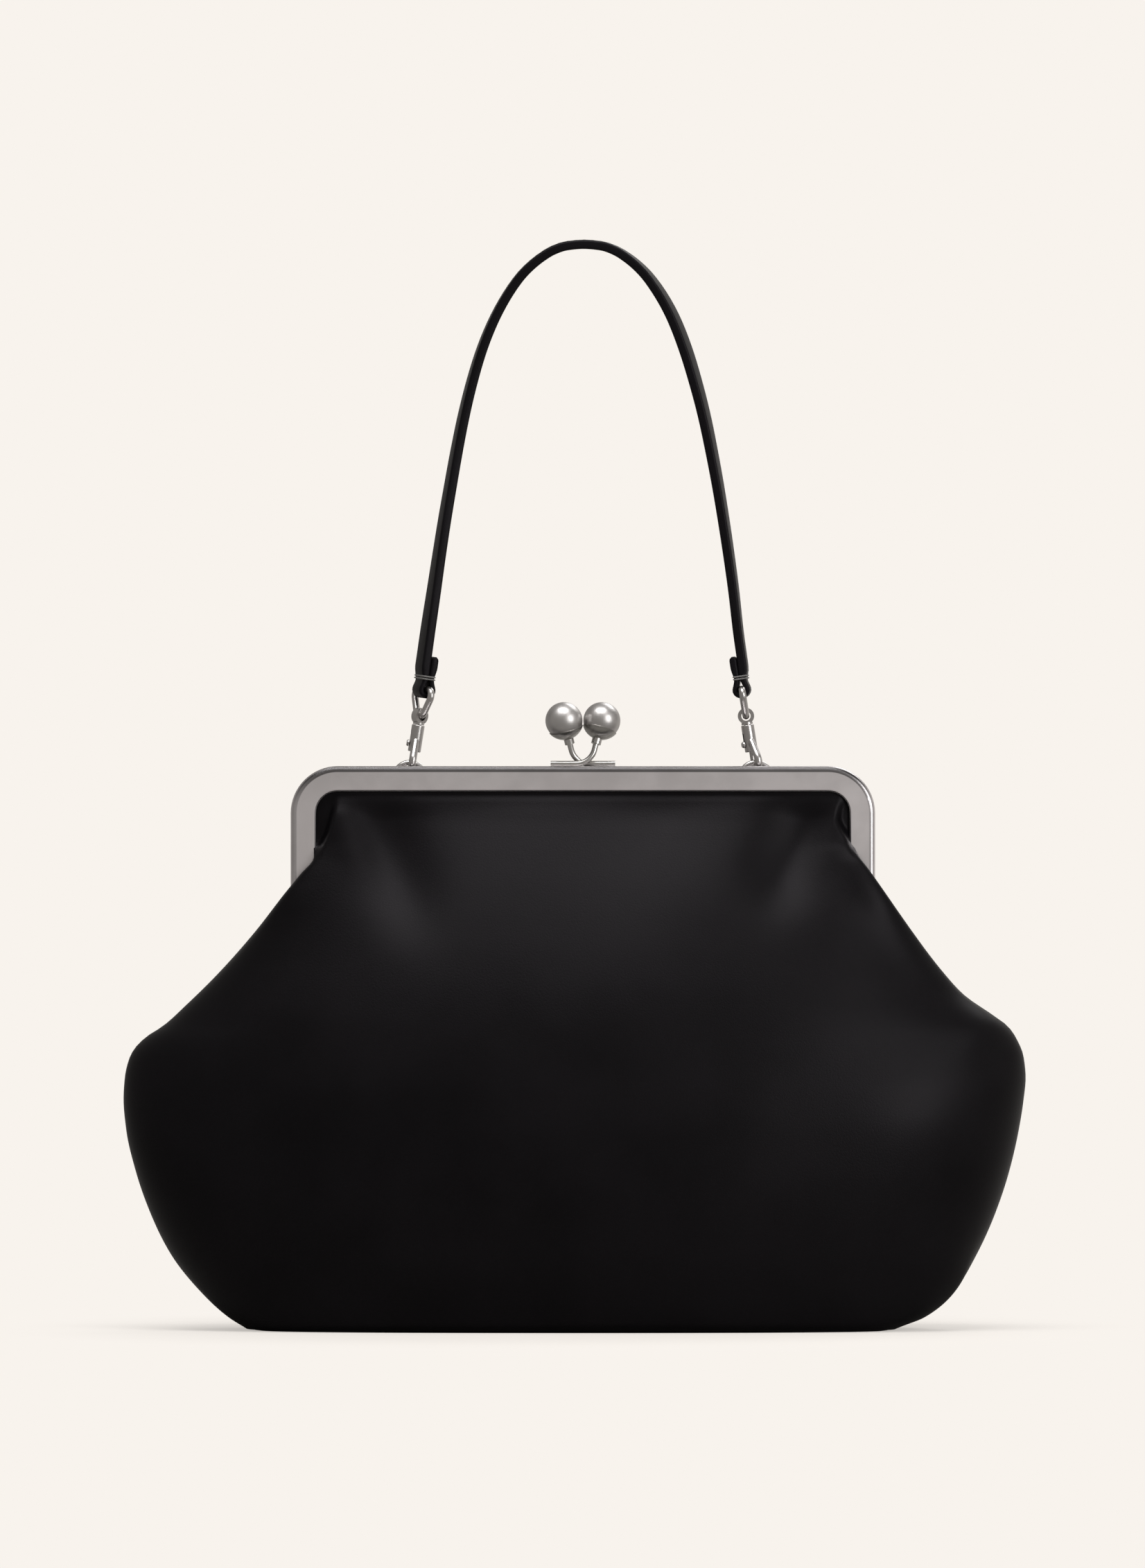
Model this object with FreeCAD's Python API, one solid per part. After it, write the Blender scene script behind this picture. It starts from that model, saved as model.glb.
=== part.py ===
"""Kiss lock frame purse: a soft leather bag on a hinged metal frame, with a clip-on shoulder strap.

Millimetres. +X is to the right, +Y to the back and +Z up. The origin is at the middle of the base,
on the surface that the bag stands on.
"""
import FreeCAD, Part
import math
import os

V = FreeCAD.Vector
X_AXIS = V(1, 0, 0)
Y_AXIS = V(0, 1, 0)
Z_AXIS = V(0, 0, 1)

# Leather bag: heights are stacked, each above the one before it
LEATHER = 1.6
LINING = 0.6
BOARD = 2.0
BASE_THICKNESS = 2.5
EDGE_HEIGHT = 0.6
TURN_RISE = 12.4
HAUNCH_RISE = 19.0
FLANK_RISE = 30.0
BELLY_RISE = 33.0
EAR_RISE = 15.0
SHOULDER_RISE = 12.0
NECK_RISE = 13.0
THROAT_RISE = 15.0
RIM_RISE = 15.0
BASE_WIDTH = 268.0
TURN_WIDTH = 300.6
HAUNCH_WIDTH = 327.0
FLANK_WIDTH = 351.4
BELLY_WIDTH = 364.0
EAR_WIDTH = 361.2
SHOULDER_WIDTH = 342.4
NECK_WIDTH = 310.0
THROAT_WIDTH = 282.8
RIM_SPREAD = 11.4
BASE_DEPTH = 97.0
TURN_DEPTH = 104.0
HAUNCH_DEPTH = 113.0
FLANK_DEPTH = 119.0
BELLY_DEPTH = 112.8
EAR_DEPTH = 105.8
SHOULDER_DEPTH = 97.0
NECK_DEPTH = 84.2
THROAT_DEPTH = 71.5
RIM_DEPTH = 58.4
SIDE_FULLNESS = 0.62
FRONT_FULLNESS = 0.62
SEAM_GAP = 0.1
LAYER_GAP = 0.3
LINING_GAP = 0.9

# Tops of the panels, which go with the frame halves and tuck inside the rim of the bag
TUCK = 3.5
TUCK_CLEARANCE = 1.0
FLAP_CLEARANCE = 0.9
SIDE_TUCK = 8.0
LINING_STOP = 13.0
CROSS_RISE = 8.5
CROSS_SPREAD = 2.6
CROSS_DEPTH = 47.2
MOUTH_RISE = 11.4
MOUTH_DEPTH = 35.4
BROW_RISE = 13.3
BROW_DEPTH = 21.6

# Frame halves and their hinge
FRAME_WIDTH = 236.0
BAND = 10.2
FRAME_DEPTH = 4.9
FRAME_GAP = 0.3
FRAME_RADIUS = 19.0
EDGE_ROUND = 2.0
LIP_BEVEL = 0.5
CHANNEL_WIDTH = 2.5
CHANNEL_DEPTH = 4.6
CHANNEL_WALL = 1.1
HINGE_RISE = 5.0
ARM_LENGTH = 57.6
KNUCKLE_RADIUS = 4.6
KNUCKLE_GAP = 0.3
RIVET_RADIUS = 1.5
RIVET_HEAD_RADIUS = 2.8
RIVET_HEAD = 1.0
RUNNING_CLEARANCE = 0.05
OPEN_ANGLE = 40.0

# Kiss lock
BALL_RADIUS = 7.5
BALL_GAP = 0.3
STEM_RADIUS = 1.17
STEM_SINK = 0.2
STEM_FOOT = 10.5
STEM_BEND = 7.4
STEM_ANGLE = 76.0
STEM_SHANK = 2.6
STEM_LEAN_ANGLE = 11.2
COLLAR_RADIUS = 2.0
COLLAR_LENGTH = 2.0
COLLAR_LAP = 0.5
CUP_WALL = 0.35
CUP_GAP = 0.03
CUP_ANGLE = 62.0

# D-rings and their brackets
D_RING_X = 70.0
D_RING_RADIUS = 6.4
D_RING_SIDE = 2.0
D_RING_CORNER = 1.7
D_WIRE_RADIUS = 1.1
D_RING_SHOW = 2.5
D_RING_OFFSET = 5.25
BRACKET_WIDTH = 6.4
BRACKET_WALL = 1.0
BRACKET_PAD = 1.2
BRACKET_PAD_HEIGHT = 6.0
BRACKET_WEB = 2.4

# Bolt snap hooks
HOOK_LEAN_ANGLE = 9.0
HOOK_TWIST_ANGLE = 19.0
BARREL_RADIUS = 2.6
BARREL_LENGTH = 11.0
BARREL_ROUND = 0.4
HOOK_WIRE_RADIUS = 1.5
HOOK_BEND = 3.6
HOOK_START_ANGLE = 35.0
HOOK_END_ANGLE = -144.0
HOOK_OUT = 2.9
HOOK_DROP = 4.0
HOOK_SEAT_OUT = 3.0
HOOK_SEAT_GAP = 0.5
BOLT_RADIUS = 1.0
BOLT_REACH = 4.6
BOLT_TOP = 4.4
BOLT_TRAVEL = 4.0
BOLT_SEAT_GAP = 0.1
KNOB_HEIGHT = 3.2
KNOB_NECK_RADIUS = 0.6
KNOB_RADIUS = 1.35
KNOB_OUT = 0.9
SPRING_WALL = 0.3
SPRING_GAP = 0.05
STUD_RADIUS = 1.2
STUD_LENGTH = 1.7
EYE_RADIUS = 3.3
EYE_WIDTH = 3.0
EYE_CAP_RADIUS = 2.3
EYE_CAP = 0.9
EYE_PLAY = 0.15

# Oval rings and the strap
RING_WIRE_RADIUS = 1.4
RING_PLAY = 0.5
RING_HEIGHT = 11.0
RING_SIDE_PLAY = 1.0
RING_CORNER = 2.6
RING_FOOT_RADIUS = 4.5
STRAP_WIDTH = 10.0
STRAP_THICKNESS = 3.7
STRAP_RISE = 180.0
STRAP_TOP_RADIUS = 27.0
STRAP_TOP_ANGLE = 48.0
STRAP_SHOULDER_RADIUS = 82.0
STRAP_SHOULDER_ANGLE = 70.0
STRAP_LEG_RADIUS = 330.0
LOOP_WALL = 2.1
TAB_LENGTH = 13.0
TAB_THICKNESS = 3.0

SAME_PLACE = 1e-6

# Levels and lines that several pieces share
TURN_HEIGHT = EDGE_HEIGHT + TURN_RISE
HAUNCH_HEIGHT = TURN_HEIGHT + HAUNCH_RISE
FLANK_HEIGHT = HAUNCH_HEIGHT + FLANK_RISE
BELLY_HEIGHT = FLANK_HEIGHT + BELLY_RISE
EAR_HEIGHT = BELLY_HEIGHT + EAR_RISE
SHOULDER_HEIGHT = EAR_HEIGHT + SHOULDER_RISE
NECK_HEIGHT = SHOULDER_HEIGHT + NECK_RISE
THROAT_HEIGHT = NECK_HEIGHT + THROAT_RISE
RIM_HEIGHT = THROAT_HEIGHT + RIM_RISE
HINGE_HEIGHT = RIM_HEIGHT + HINGE_RISE
FRAME_TOP = HINGE_HEIGHT + ARM_LENGTH
FRAME_INNER_TOP = FRAME_TOP - BAND
FRAME_HALF = FRAME_WIDTH / 2
RIM_WIDTH = FRAME_WIDTH + 2 * RIM_SPREAD
FRAME_INNER_HALF = FRAME_HALF - BAND
FRAME_INNER_Y = FRAME_GAP / 2
FRAME_OUTER_Y = FRAME_INNER_Y + FRAME_DEPTH
CHANNEL_OUTER_Y = FRAME_OUTER_Y - CHANNEL_WALL
CHANNEL_INNER_Y = CHANNEL_OUTER_Y - CHANNEL_WIDTH
FOOT_HEIGHT = RIM_HEIGHT - TUCK
CROSS_HEIGHT = HINGE_HEIGHT + CROSS_RISE
MOUTH_HEIGHT = CROSS_HEIGHT + MOUTH_RISE
BROW_HEIGHT = MOUTH_HEIGHT + BROW_RISE
PANEL_TOP = FRAME_INNER_TOP + CHANNEL_DEPTH - LAYER_GAP
D_RING_Y = FRAME_OUTER_Y + D_RING_OFFSET
D_ARC_HEIGHT = FRAME_TOP + D_RING_SHOW - D_WIRE_RADIUS - D_RING_RADIUS
D_BAR_HEIGHT = D_ARC_HEIGHT - D_RING_SIDE


def lerp(start, end, share):
    return start + (end - start) * share


def bag_rings():
    """Height, half width and half depth of the leather bag, from the base to its rim."""
    return [
        (EDGE_HEIGHT, BASE_WIDTH / 2, BASE_DEPTH / 2),
        (TURN_HEIGHT, TURN_WIDTH / 2, TURN_DEPTH / 2),
        (HAUNCH_HEIGHT, HAUNCH_WIDTH / 2, HAUNCH_DEPTH / 2),
        (FLANK_HEIGHT, FLANK_WIDTH / 2, FLANK_DEPTH / 2),
        (BELLY_HEIGHT, BELLY_WIDTH / 2, BELLY_DEPTH / 2),
        (EAR_HEIGHT, EAR_WIDTH / 2, EAR_DEPTH / 2),
        (SHOULDER_HEIGHT, SHOULDER_WIDTH / 2, SHOULDER_DEPTH / 2),
        (NECK_HEIGHT, NECK_WIDTH / 2, NECK_DEPTH / 2),
        (THROAT_HEIGHT, THROAT_WIDTH / 2, THROAT_DEPTH / 2),
        (RIM_HEIGHT, RIM_WIDTH / 2, RIM_DEPTH / 2),
    ]


def ring_at(height):
    """Half width and half depth of the bag at any height, between its rings."""
    rings = bag_rings()
    for low, high in zip(rings, rings[1:]):
        if height <= high[0]:
            share = (height - low[0]) / (high[0] - low[0])
            return lerp(low[1], high[1], share), lerp(low[2], high[2], share)
    return rings[-1][1:]


def half_curve(height, half_width, half_depth, side_y):
    """Front half of a bag section: a smooth curve from one side, round the front, to the other."""
    shoulder_y = lerp(side_y, half_depth, SIDE_FULLNESS)
    front_x = half_width * FRONT_FULLNESS
    left = [(-half_width, -side_y), (-half_width, -shoulder_y), (-front_x, -half_depth)]
    right = [(-x, y) for x, y in left[::-1]]
    poles = [V(x, y, height) for x, y in left + [(0, -half_depth)] + right]
    curve = Part.BSplineCurve()
    curve.buildFromPolesMultsKnots(poles, [4, 1, 1, 1, 4], [0, 0.25, 0.5, 0.75, 1], False, 3)
    return curve


def half_shell(rows, thickness, straight):
    """Front half of a soft wall, lofted through rows of height, half width, half depth and side y."""
    wires = []
    for height, half_width, half_depth, side_y in rows:
        outer = half_curve(height, half_width, half_depth, side_y)
        inner = half_curve(height, half_width - thickness, half_depth - thickness, side_y)
        right = Part.makeLine(outer.EndPoint, inner.EndPoint)
        left = Part.makeLine(inner.StartPoint, outer.StartPoint)
        wires.append(Part.Wire([outer.toShape(), right, inner.toShape(), left]))
    return Part.makeLoft(wires, True, straight)


def to_back(shape):
    """The matching piece on the other side of the seam plane."""
    return shape.mirror(V(0, 0, 0), Y_AXIS)


def flat_piece(half_width, half_depth, bottom, thickness):
    """Flat piece with the outline of the bag's base."""
    front = half_curve(bottom, half_width, half_depth, 0)
    back = to_back(front.toShape())
    return Part.Face(Part.Wire([front.toShape(), back])).extrude(V(0, 0, thickness))


def bag_wall(inset, thickness, bottom, top):
    """Front half of a wall that follows the inside of the bag, inset from the leather's outer face."""
    heights = [bottom] + [ring[0] for ring in bag_rings() if bottom < ring[0] < top] + [top]
    rows = []
    for height in heights:
        half_width, half_depth = ring_at(height)
        rows.append((height, half_width - inset, half_depth - inset, SEAM_GAP / 2))
    return half_shell(rows, thickness, False)


def panel_top(inset, thickness, bottom, top):
    """Front top of a panel or of its lining: from inside the rim, past the arms, up to the channel."""
    foot_y = (HINGE_HEIGHT - FOOT_HEIGHT) * math.tan(math.radians(OPEN_ANGLE)) + FLAP_CLEARANCE
    arm_y = max(foot_y, KNUCKLE_RADIUS + FLAP_CLEARANCE)
    tuck = LEATHER + TUCK_CLEARANCE
    side_tuck = tuck + SIDE_TUCK
    foot_width, foot_depth = ring_at(FOOT_HEIGHT)
    mouth_width = FRAME_INNER_HALF - LAYER_GAP
    slot_width = FRAME_HALF - FRAME_RADIUS
    slot_y = CHANNEL_INNER_Y + LAYER_GAP
    slot_depth = CHANNEL_OUTER_Y - LAYER_GAP
    rows = [
        (FOOT_HEIGHT, foot_width - side_tuck, foot_depth - tuck, arm_y),
        (RIM_HEIGHT, RIM_WIDTH / 2 - side_tuck, RIM_DEPTH / 2 - tuck, arm_y),
        (CROSS_HEIGHT, FRAME_HALF + CROSS_SPREAD, CROSS_DEPTH / 2, arm_y),
        (MOUTH_HEIGHT, mouth_width, MOUTH_DEPTH / 2, arm_y),
        (BROW_HEIGHT, mouth_width, BROW_DEPTH / 2, (slot_y + arm_y) / 2),
        (FRAME_INNER_TOP - LAYER_GAP, slot_width, slot_depth, slot_y),
        (PANEL_TOP, slot_width, slot_depth, slot_y),
    ]
    kept = []
    for height, half_width, half_depth, side_y in rows:
        if bottom <= height <= top:
            depth = half_depth - inset
            kept.append((height, half_width - inset, depth, min(side_y, depth - thickness - LAYER_GAP)))
    return half_shell(kept, thickness, True)


def arch_face(half_width, top, bottom, radius, y):
    """Upright face with square feet and two rounded top corners."""
    shift = radius * (1 - math.sqrt(0.5))
    corners = [V(-half_width, y, bottom), V(-half_width, y, top - radius), V(-half_width + radius, y, top),
               V(half_width - radius, y, top), V(half_width, y, top - radius), V(half_width, y, bottom)]
    left = V(-half_width + shift, y, top - shift)
    right = V(half_width - shift, y, top - shift)
    return Part.Face(Part.Wire([
        Part.makeLine(corners[0], corners[1]),
        Part.Arc(corners[1], left, corners[2]).toShape(),
        Part.makeLine(corners[2], corners[3]),
        Part.Arc(corners[3], right, corners[4]).toShape(),
        Part.makeLine(corners[4], corners[5]),
        Part.makeLine(corners[5], corners[0]),
    ]))


def edges_on_face(solid, y, half_width, inside):
    """Edges of the arch in the plane y, either of its outer outline or of its inner one."""
    found = []
    for edge in solid.Edges:
        box = edge.BoundBox
        if max(abs(box.YMin - y), abs(box.YMax - y)) > SAME_PLACE:
            continue
        on_foot = box.ZMax < HINGE_HEIGHT + SAME_PLACE
        reach = max(abs(box.XMin), abs(box.XMax))
        if not on_foot and (reach < half_width + SAME_PLACE) == inside:
            found.append(edge)
    return found


def frame_half(knuckle_outside):
    """Front half of the frame; the knuckle takes the outer or the inner half of the arm's width."""
    arch = arch_face(FRAME_HALF, FRAME_TOP, HINGE_HEIGHT, FRAME_RADIUS, -FRAME_OUTER_Y)
    mouth = arch_face(FRAME_INNER_HALF, FRAME_INNER_TOP, HINGE_HEIGHT, FRAME_RADIUS - BAND, -FRAME_OUTER_Y)
    half = arch.cut(mouth).extrude(V(0, FRAME_DEPTH, 0))
    half = half.makeFillet(EDGE_ROUND, edges_on_face(half, -FRAME_OUTER_Y, FRAME_INNER_HALF, False))
    half = half.makeChamfer(LIP_BEVEL, edges_on_face(half, -FRAME_OUTER_Y, FRAME_INNER_HALF, True))

    arm_foot = HINGE_HEIGHT + KNUCKLE_RADIUS + 2 * KNUCKLE_GAP
    channel = arch_face(FRAME_INNER_HALF + CHANNEL_DEPTH, FRAME_INNER_TOP + CHANNEL_DEPTH,
                        arm_foot + KNUCKLE_RADIUS, FRAME_RADIUS - BAND + CHANNEL_DEPTH, -CHANNEL_OUTER_Y)
    half = half.cut(channel.extrude(V(0, CHANNEL_WIDTH, 0)))

    middle = FRAME_HALF - BAND / 2
    split = KNUCKLE_GAP / 2
    ends = ((middle + split, FRAME_HALF), (FRAME_INNER_HALF, middle - split))
    kept, cleared = ends if knuckle_outside else ends[::-1]
    for side in (-1, 1):
        clear_low = cleared[0] - (0 if knuckle_outside else split * 2)
        clear_high = cleared[1] + (split * 2 if knuckle_outside else 0)
        low = min(side * clear_low, side * clear_high)
        room = Part.makeBox(clear_high - clear_low, 2 * FRAME_OUTER_Y, arm_foot - HINGE_HEIGHT,
                            V(low, -FRAME_OUTER_Y, HINGE_HEIGHT))
        start = min(side * kept[0], side * kept[1])
        width = kept[1] - kept[0]
        knuckle = Part.makeCylinder(KNUCKLE_RADIUS, width, V(start, 0, HINGE_HEIGHT), X_AXIS)
        hole = Part.makeCylinder(RIVET_RADIUS + RUNNING_CLEARANCE, width, V(start, 0, HINGE_HEIGHT), X_AXIS)
        half = half.cut(room).fuse(knuckle).cut(hole)
    return half.removeSplitter()


def hinge_rivet(side):
    """Rivet through both knuckles of one arm, with a domed head at each end, turned from one profile."""
    inner = FRAME_INNER_HALF - KNUCKLE_GAP / 2
    outer = FRAME_HALF + KNUCKLE_GAP / 2
    dome_radius = (RIVET_HEAD_RADIUS ** 2 + RIVET_HEAD ** 2) / (2 * RIVET_HEAD)
    half_angle = math.asin(RIVET_HEAD_RADIUS / dome_radius) / 2
    dome_fall = dome_radius * (1 - math.cos(half_angle))
    dome_out = dome_radius * math.sin(half_angle)

    def at(along, out):
        return V(along, 0, HINGE_HEIGHT + out)

    def dome(face_x, way):
        tip = face_x + way * RIVET_HEAD
        crown = at(tip - way * dome_fall, dome_out)
        return Part.Arc(at(tip, 0), crown, at(face_x, RIVET_HEAD_RADIUS)).toShape()

    profile = Part.Wire([
        dome(inner, -1),
        Part.makeLine(at(inner, RIVET_HEAD_RADIUS), at(inner, RIVET_RADIUS)),
        Part.makeLine(at(inner, RIVET_RADIUS), at(outer, RIVET_RADIUS)),
        Part.makeLine(at(outer, RIVET_RADIUS), at(outer, RIVET_HEAD_RADIUS)),
        dome(outer, 1),
        Part.makeLine(at(outer + RIVET_HEAD, 0), at(inner - RIVET_HEAD, 0)),
    ])
    rivet = Part.Face(profile).revolve(at(0, 0), X_AXIS, 360)
    if side < 0:
        rivet = rivet.rotate(V(0, 0, 0), Z_AXIS, 180)
    return rivet


def round_wire(path, radius):
    """Round wire along a path of straight runs and tangent arcs."""
    first = path[0]
    start = first.valueAt(first.FirstParameter)
    heading = first.tangentAt(first.FirstParameter)
    section = Part.Wire([Part.makeCircle(radius, start, heading)])
    return Part.Wire(path).makePipeShell([section], True, False)


def kiss_lock():
    """Stem, collar, cup and ball of the front half. It leans back, so that the balls pass side by side."""
    foot_y = -(FRAME_INNER_Y + STEM_RADIUS + LAYER_GAP / 2)
    foot_z = FRAME_TOP + STEM_RADIUS - STEM_SINK
    angle = math.radians(STEM_ANGLE)
    reach = STEM_SHANK + COLLAR_LENGTH + CUP_WALL + CUP_GAP + BALL_RADIUS
    ball_x = BALL_RADIUS + BALL_GAP / 2
    bend_x = ball_x - STEM_BEND * math.sin(angle) - reach * math.cos(angle)

    def on_bend(turn):
        return V(bend_x + STEM_BEND * math.sin(turn), foot_y, foot_z + STEM_BEND * (1 - math.cos(turn)))

    along = V(math.cos(angle), 0, math.sin(angle))
    bend_end = on_bend(angle)
    shank_end = bend_end + along * STEM_SHANK
    stem = round_wire([
        Part.makeLine(V(bend_x - STEM_FOOT, foot_y, foot_z), on_bend(0)),
        Part.Arc(on_bend(0), on_bend(angle / 2), bend_end).toShape(),
        Part.makeLine(bend_end, shank_end),
    ], STEM_RADIUS)
    collar = Part.makeCylinder(COLLAR_RADIUS, COLLAR_LENGTH + COLLAR_LAP, shank_end, along)
    collar_end = shank_end + along * COLLAR_LENGTH
    cup_radius = BALL_RADIUS + CUP_GAP + CUP_WALL
    centre = collar_end + along * cup_radius
    ball = Part.makeSphere(BALL_RADIUS, centre)
    rim = cup_radius * math.cos(math.radians(CUP_ANGLE))
    shell = Part.makeSphere(cup_radius, centre).cut(Part.makeSphere(BALL_RADIUS + CUP_GAP, centre))
    cup_room = Part.makeCylinder(cup_radius, cup_radius, centre - along * (rim + cup_radius), along)
    cup = shell.common(cup_room)
    collar = collar.cut(Part.makeSphere(cup_radius, centre))

    foot = V(0, foot_y, foot_z)
    pieces = [shape.rotate(foot, X_AXIS, -STEM_LEAN_ANGLE) for shape in (stem, collar, cup, ball)]
    bench = V(-FRAME_HALF, -FRAME_OUTER_Y, FRAME_INNER_TOP)
    pieces[0] = pieces[0].cut(Part.makeBox(FRAME_WIDTH, FRAME_OUTER_Y, BAND, bench))
    return pieces


def d_ring(x):
    """D-ring, upright behind the frame: a half circle on two short sides and a straight bar."""
    radius, corner = D_RING_RADIUS, D_RING_CORNER
    shift = corner * (1 - math.sqrt(0.5))

    def at(across, up):
        return V(x + across, D_RING_Y, up)

    bar, arc = D_BAR_HEIGHT, D_ARC_HEIGHT
    run = radius - corner
    knee = radius - shift
    path = [
        Part.makeLine(at(0, bar), at(run, bar)),
        Part.Arc(at(run, bar), at(knee, bar + shift), at(radius, bar + corner)).toShape(),
        Part.makeLine(at(radius, bar + corner), at(radius, arc)),
        Part.Arc(at(radius, arc), at(0, arc + radius), at(-radius, arc)).toShape(),
        Part.makeLine(at(-radius, arc), at(-radius, bar + corner)),
        Part.Arc(at(-radius, bar + corner), at(-knee, bar + shift), at(-run, bar)).toShape(),
        Part.makeLine(at(-run, bar), at(0, bar)),
    ]
    return round_wire(path, D_WIRE_RADIUS)


def d_ring_bracket(x):
    """Strip that is wrapped round the D-ring's bar and soldered to the back of the frame."""
    bore = D_WIRE_RADIUS + RUNNING_CLEARANCE
    start = x - BRACKET_WIDTH / 2
    pad = Part.makeBox(BRACKET_WIDTH, BRACKET_PAD, BRACKET_PAD_HEIGHT,
                       V(start, FRAME_OUTER_Y, D_BAR_HEIGHT - BRACKET_PAD_HEIGHT / 2))
    web = Part.makeBox(BRACKET_WIDTH, D_RING_OFFSET, BRACKET_WEB,
                       V(start, FRAME_OUTER_Y, D_BAR_HEIGHT - BRACKET_WEB / 2))
    barrel = Part.makeCylinder(bore + BRACKET_WALL, BRACKET_WIDTH, V(start, D_RING_Y, D_BAR_HEIGHT), X_AXIS)
    hole = Part.makeCylinder(bore, BRACKET_WIDTH, V(start, D_RING_Y, D_BAR_HEIGHT), X_AXIS)
    return pad.fuse(web).fuse(barrel).cut(hole).removeSplitter()


def hook_seat():
    """Where the D-ring's wire lies in the hook, below the barrel's foot along the hook's axis."""
    room = HOOK_BEND - HOOK_WIRE_RADIUS - D_WIRE_RADIUS - HOOK_SEAT_GAP
    aside = HOOK_SEAT_OUT - HOOK_OUT
    return HOOK_DROP + math.sqrt(room ** 2 - aside ** 2)


def hook_pieces():
    """Hook body, bolt, spring and swivel eye, upright on the barrel's foot, the hook to the front."""
    bore = BOLT_RADIUS + RUNNING_CLEARANCE
    bore_top = BARREL_LENGTH - STUD_LENGTH - 2 * BOLT_SEAT_GAP - LAYER_GAP
    barrel = Part.makeCylinder(BARREL_RADIUS, BARREL_LENGTH)
    rims = [edge for edge in barrel.Edges if isinstance(edge.Curve, Part.Circle)]
    barrel = barrel.makeFillet(BARREL_ROUND, rims)

    def on_bend(degrees):
        turn = math.radians(degrees)
        return V(0, -HOOK_OUT - HOOK_BEND * math.cos(turn), -HOOK_DROP + HOOK_BEND * math.sin(turn))

    middle = (HOOK_START_ANGLE + HOOK_END_ANGLE) / 2
    arc = Part.Arc(on_bend(HOOK_START_ANGLE), on_bend(middle), on_bend(HOOK_END_ANGLE))
    start = on_bend(HOOK_START_ANGLE)
    lean_in = math.tan(math.radians(HOOK_START_ANGLE))
    root = V(0, 0, start.z - start.y / lean_in)
    bend = round_wire([Part.makeLine(root, start), arc.toShape()], HOOK_WIRE_RADIUS)
    seat_depth = BOLT_REACH + BOLT_SEAT_GAP
    seat = Part.makeCylinder(bore + LAYER_GAP, seat_depth, V(0, 0, -seat_depth))
    body = barrel.fuse(bend).cut(seat).cut(Part.makeCylinder(bore, bore_top))
    neck = KNOB_NECK_RADIUS + RUNNING_CLEARANCE
    slot_length = BOLT_TRAVEL + 2 * BOLT_SEAT_GAP
    slot_low = KNOB_HEIGHT - BOLT_SEAT_GAP
    for height in (slot_low, slot_low + slot_length):
        body = body.cut(Part.makeCylinder(neck, 2 * BARREL_RADIUS, V(0, 0, height), -X_AXIS))
    slot_corner = V(-2 * BARREL_RADIUS, -neck, slot_low)
    body = body.cut(Part.makeBox(2 * BARREL_RADIUS, 2 * neck, slot_length, slot_corner))
    stud_hole = Part.makeCylinder(STUD_RADIUS + RUNNING_CLEARANCE, STUD_LENGTH + BOLT_SEAT_GAP,
                                  V(0, 0, BARREL_LENGTH - STUD_LENGTH - BOLT_SEAT_GAP))
    body = body.cut(stud_hole)

    bolt = Part.makeCylinder(BOLT_RADIUS, BOLT_REACH + BOLT_TOP, V(0, 0, -BOLT_REACH))
    neck_end = BARREL_RADIUS + BOLT_SEAT_GAP
    knob = Part.makeSphere(KNOB_RADIUS, V(-neck_end, 0, KNOB_HEIGHT))
    dome = Part.makeCylinder(2 * KNOB_RADIUS, KNOB_OUT, V(-neck_end, 0, KNOB_HEIGHT), -X_AXIS)
    neck_pin = Part.makeCylinder(KNOB_NECK_RADIUS, neck_end + KNOB_OUT / 2, V(0, 0, KNOB_HEIGHT), -X_AXIS)
    bolt = bolt.fuse(neck_pin).fuse(knob.common(dome))

    spring_foot = BOLT_TOP + SPRING_GAP
    spring_length = bore_top - SPRING_GAP - spring_foot
    spring = Part.makeCylinder(BOLT_RADIUS, spring_length, V(0, 0, spring_foot))
    spring = spring.cut(Part.makeCylinder(BOLT_RADIUS - SPRING_WALL, spring_length, V(0, 0, spring_foot)))

    cap_foot = BARREL_LENGTH + EYE_PLAY
    centre = V(0, -EYE_WIDTH / 2, eye_height())
    eye = Part.makeCylinder(EYE_RADIUS, EYE_WIDTH, centre, Y_AXIS)
    eye = eye.fuse(Part.makeCylinder(EYE_CAP_RADIUS, EYE_CAP, V(0, 0, cap_foot)))
    stud_foot = BARREL_LENGTH - STUD_LENGTH
    eye = eye.fuse(Part.makeCylinder(STUD_RADIUS, cap_foot + EYE_CAP - stud_foot, V(0, 0, stud_foot)))
    eye = eye.cut(Part.makeCylinder(RING_WIRE_RADIUS + RING_PLAY, EYE_WIDTH, centre, Y_AXIS))
    return body, bolt, spring, eye.removeSplitter()


def eye_height():
    """Centre of the swivel eye above the barrel's foot; its lower rim sinks into the cap."""
    return BARREL_LENGTH + EYE_PLAY + EYE_CAP + EYE_RADIUS - (EYE_RADIUS - RING_WIRE_RADIUS - RING_PLAY) / 2


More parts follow.
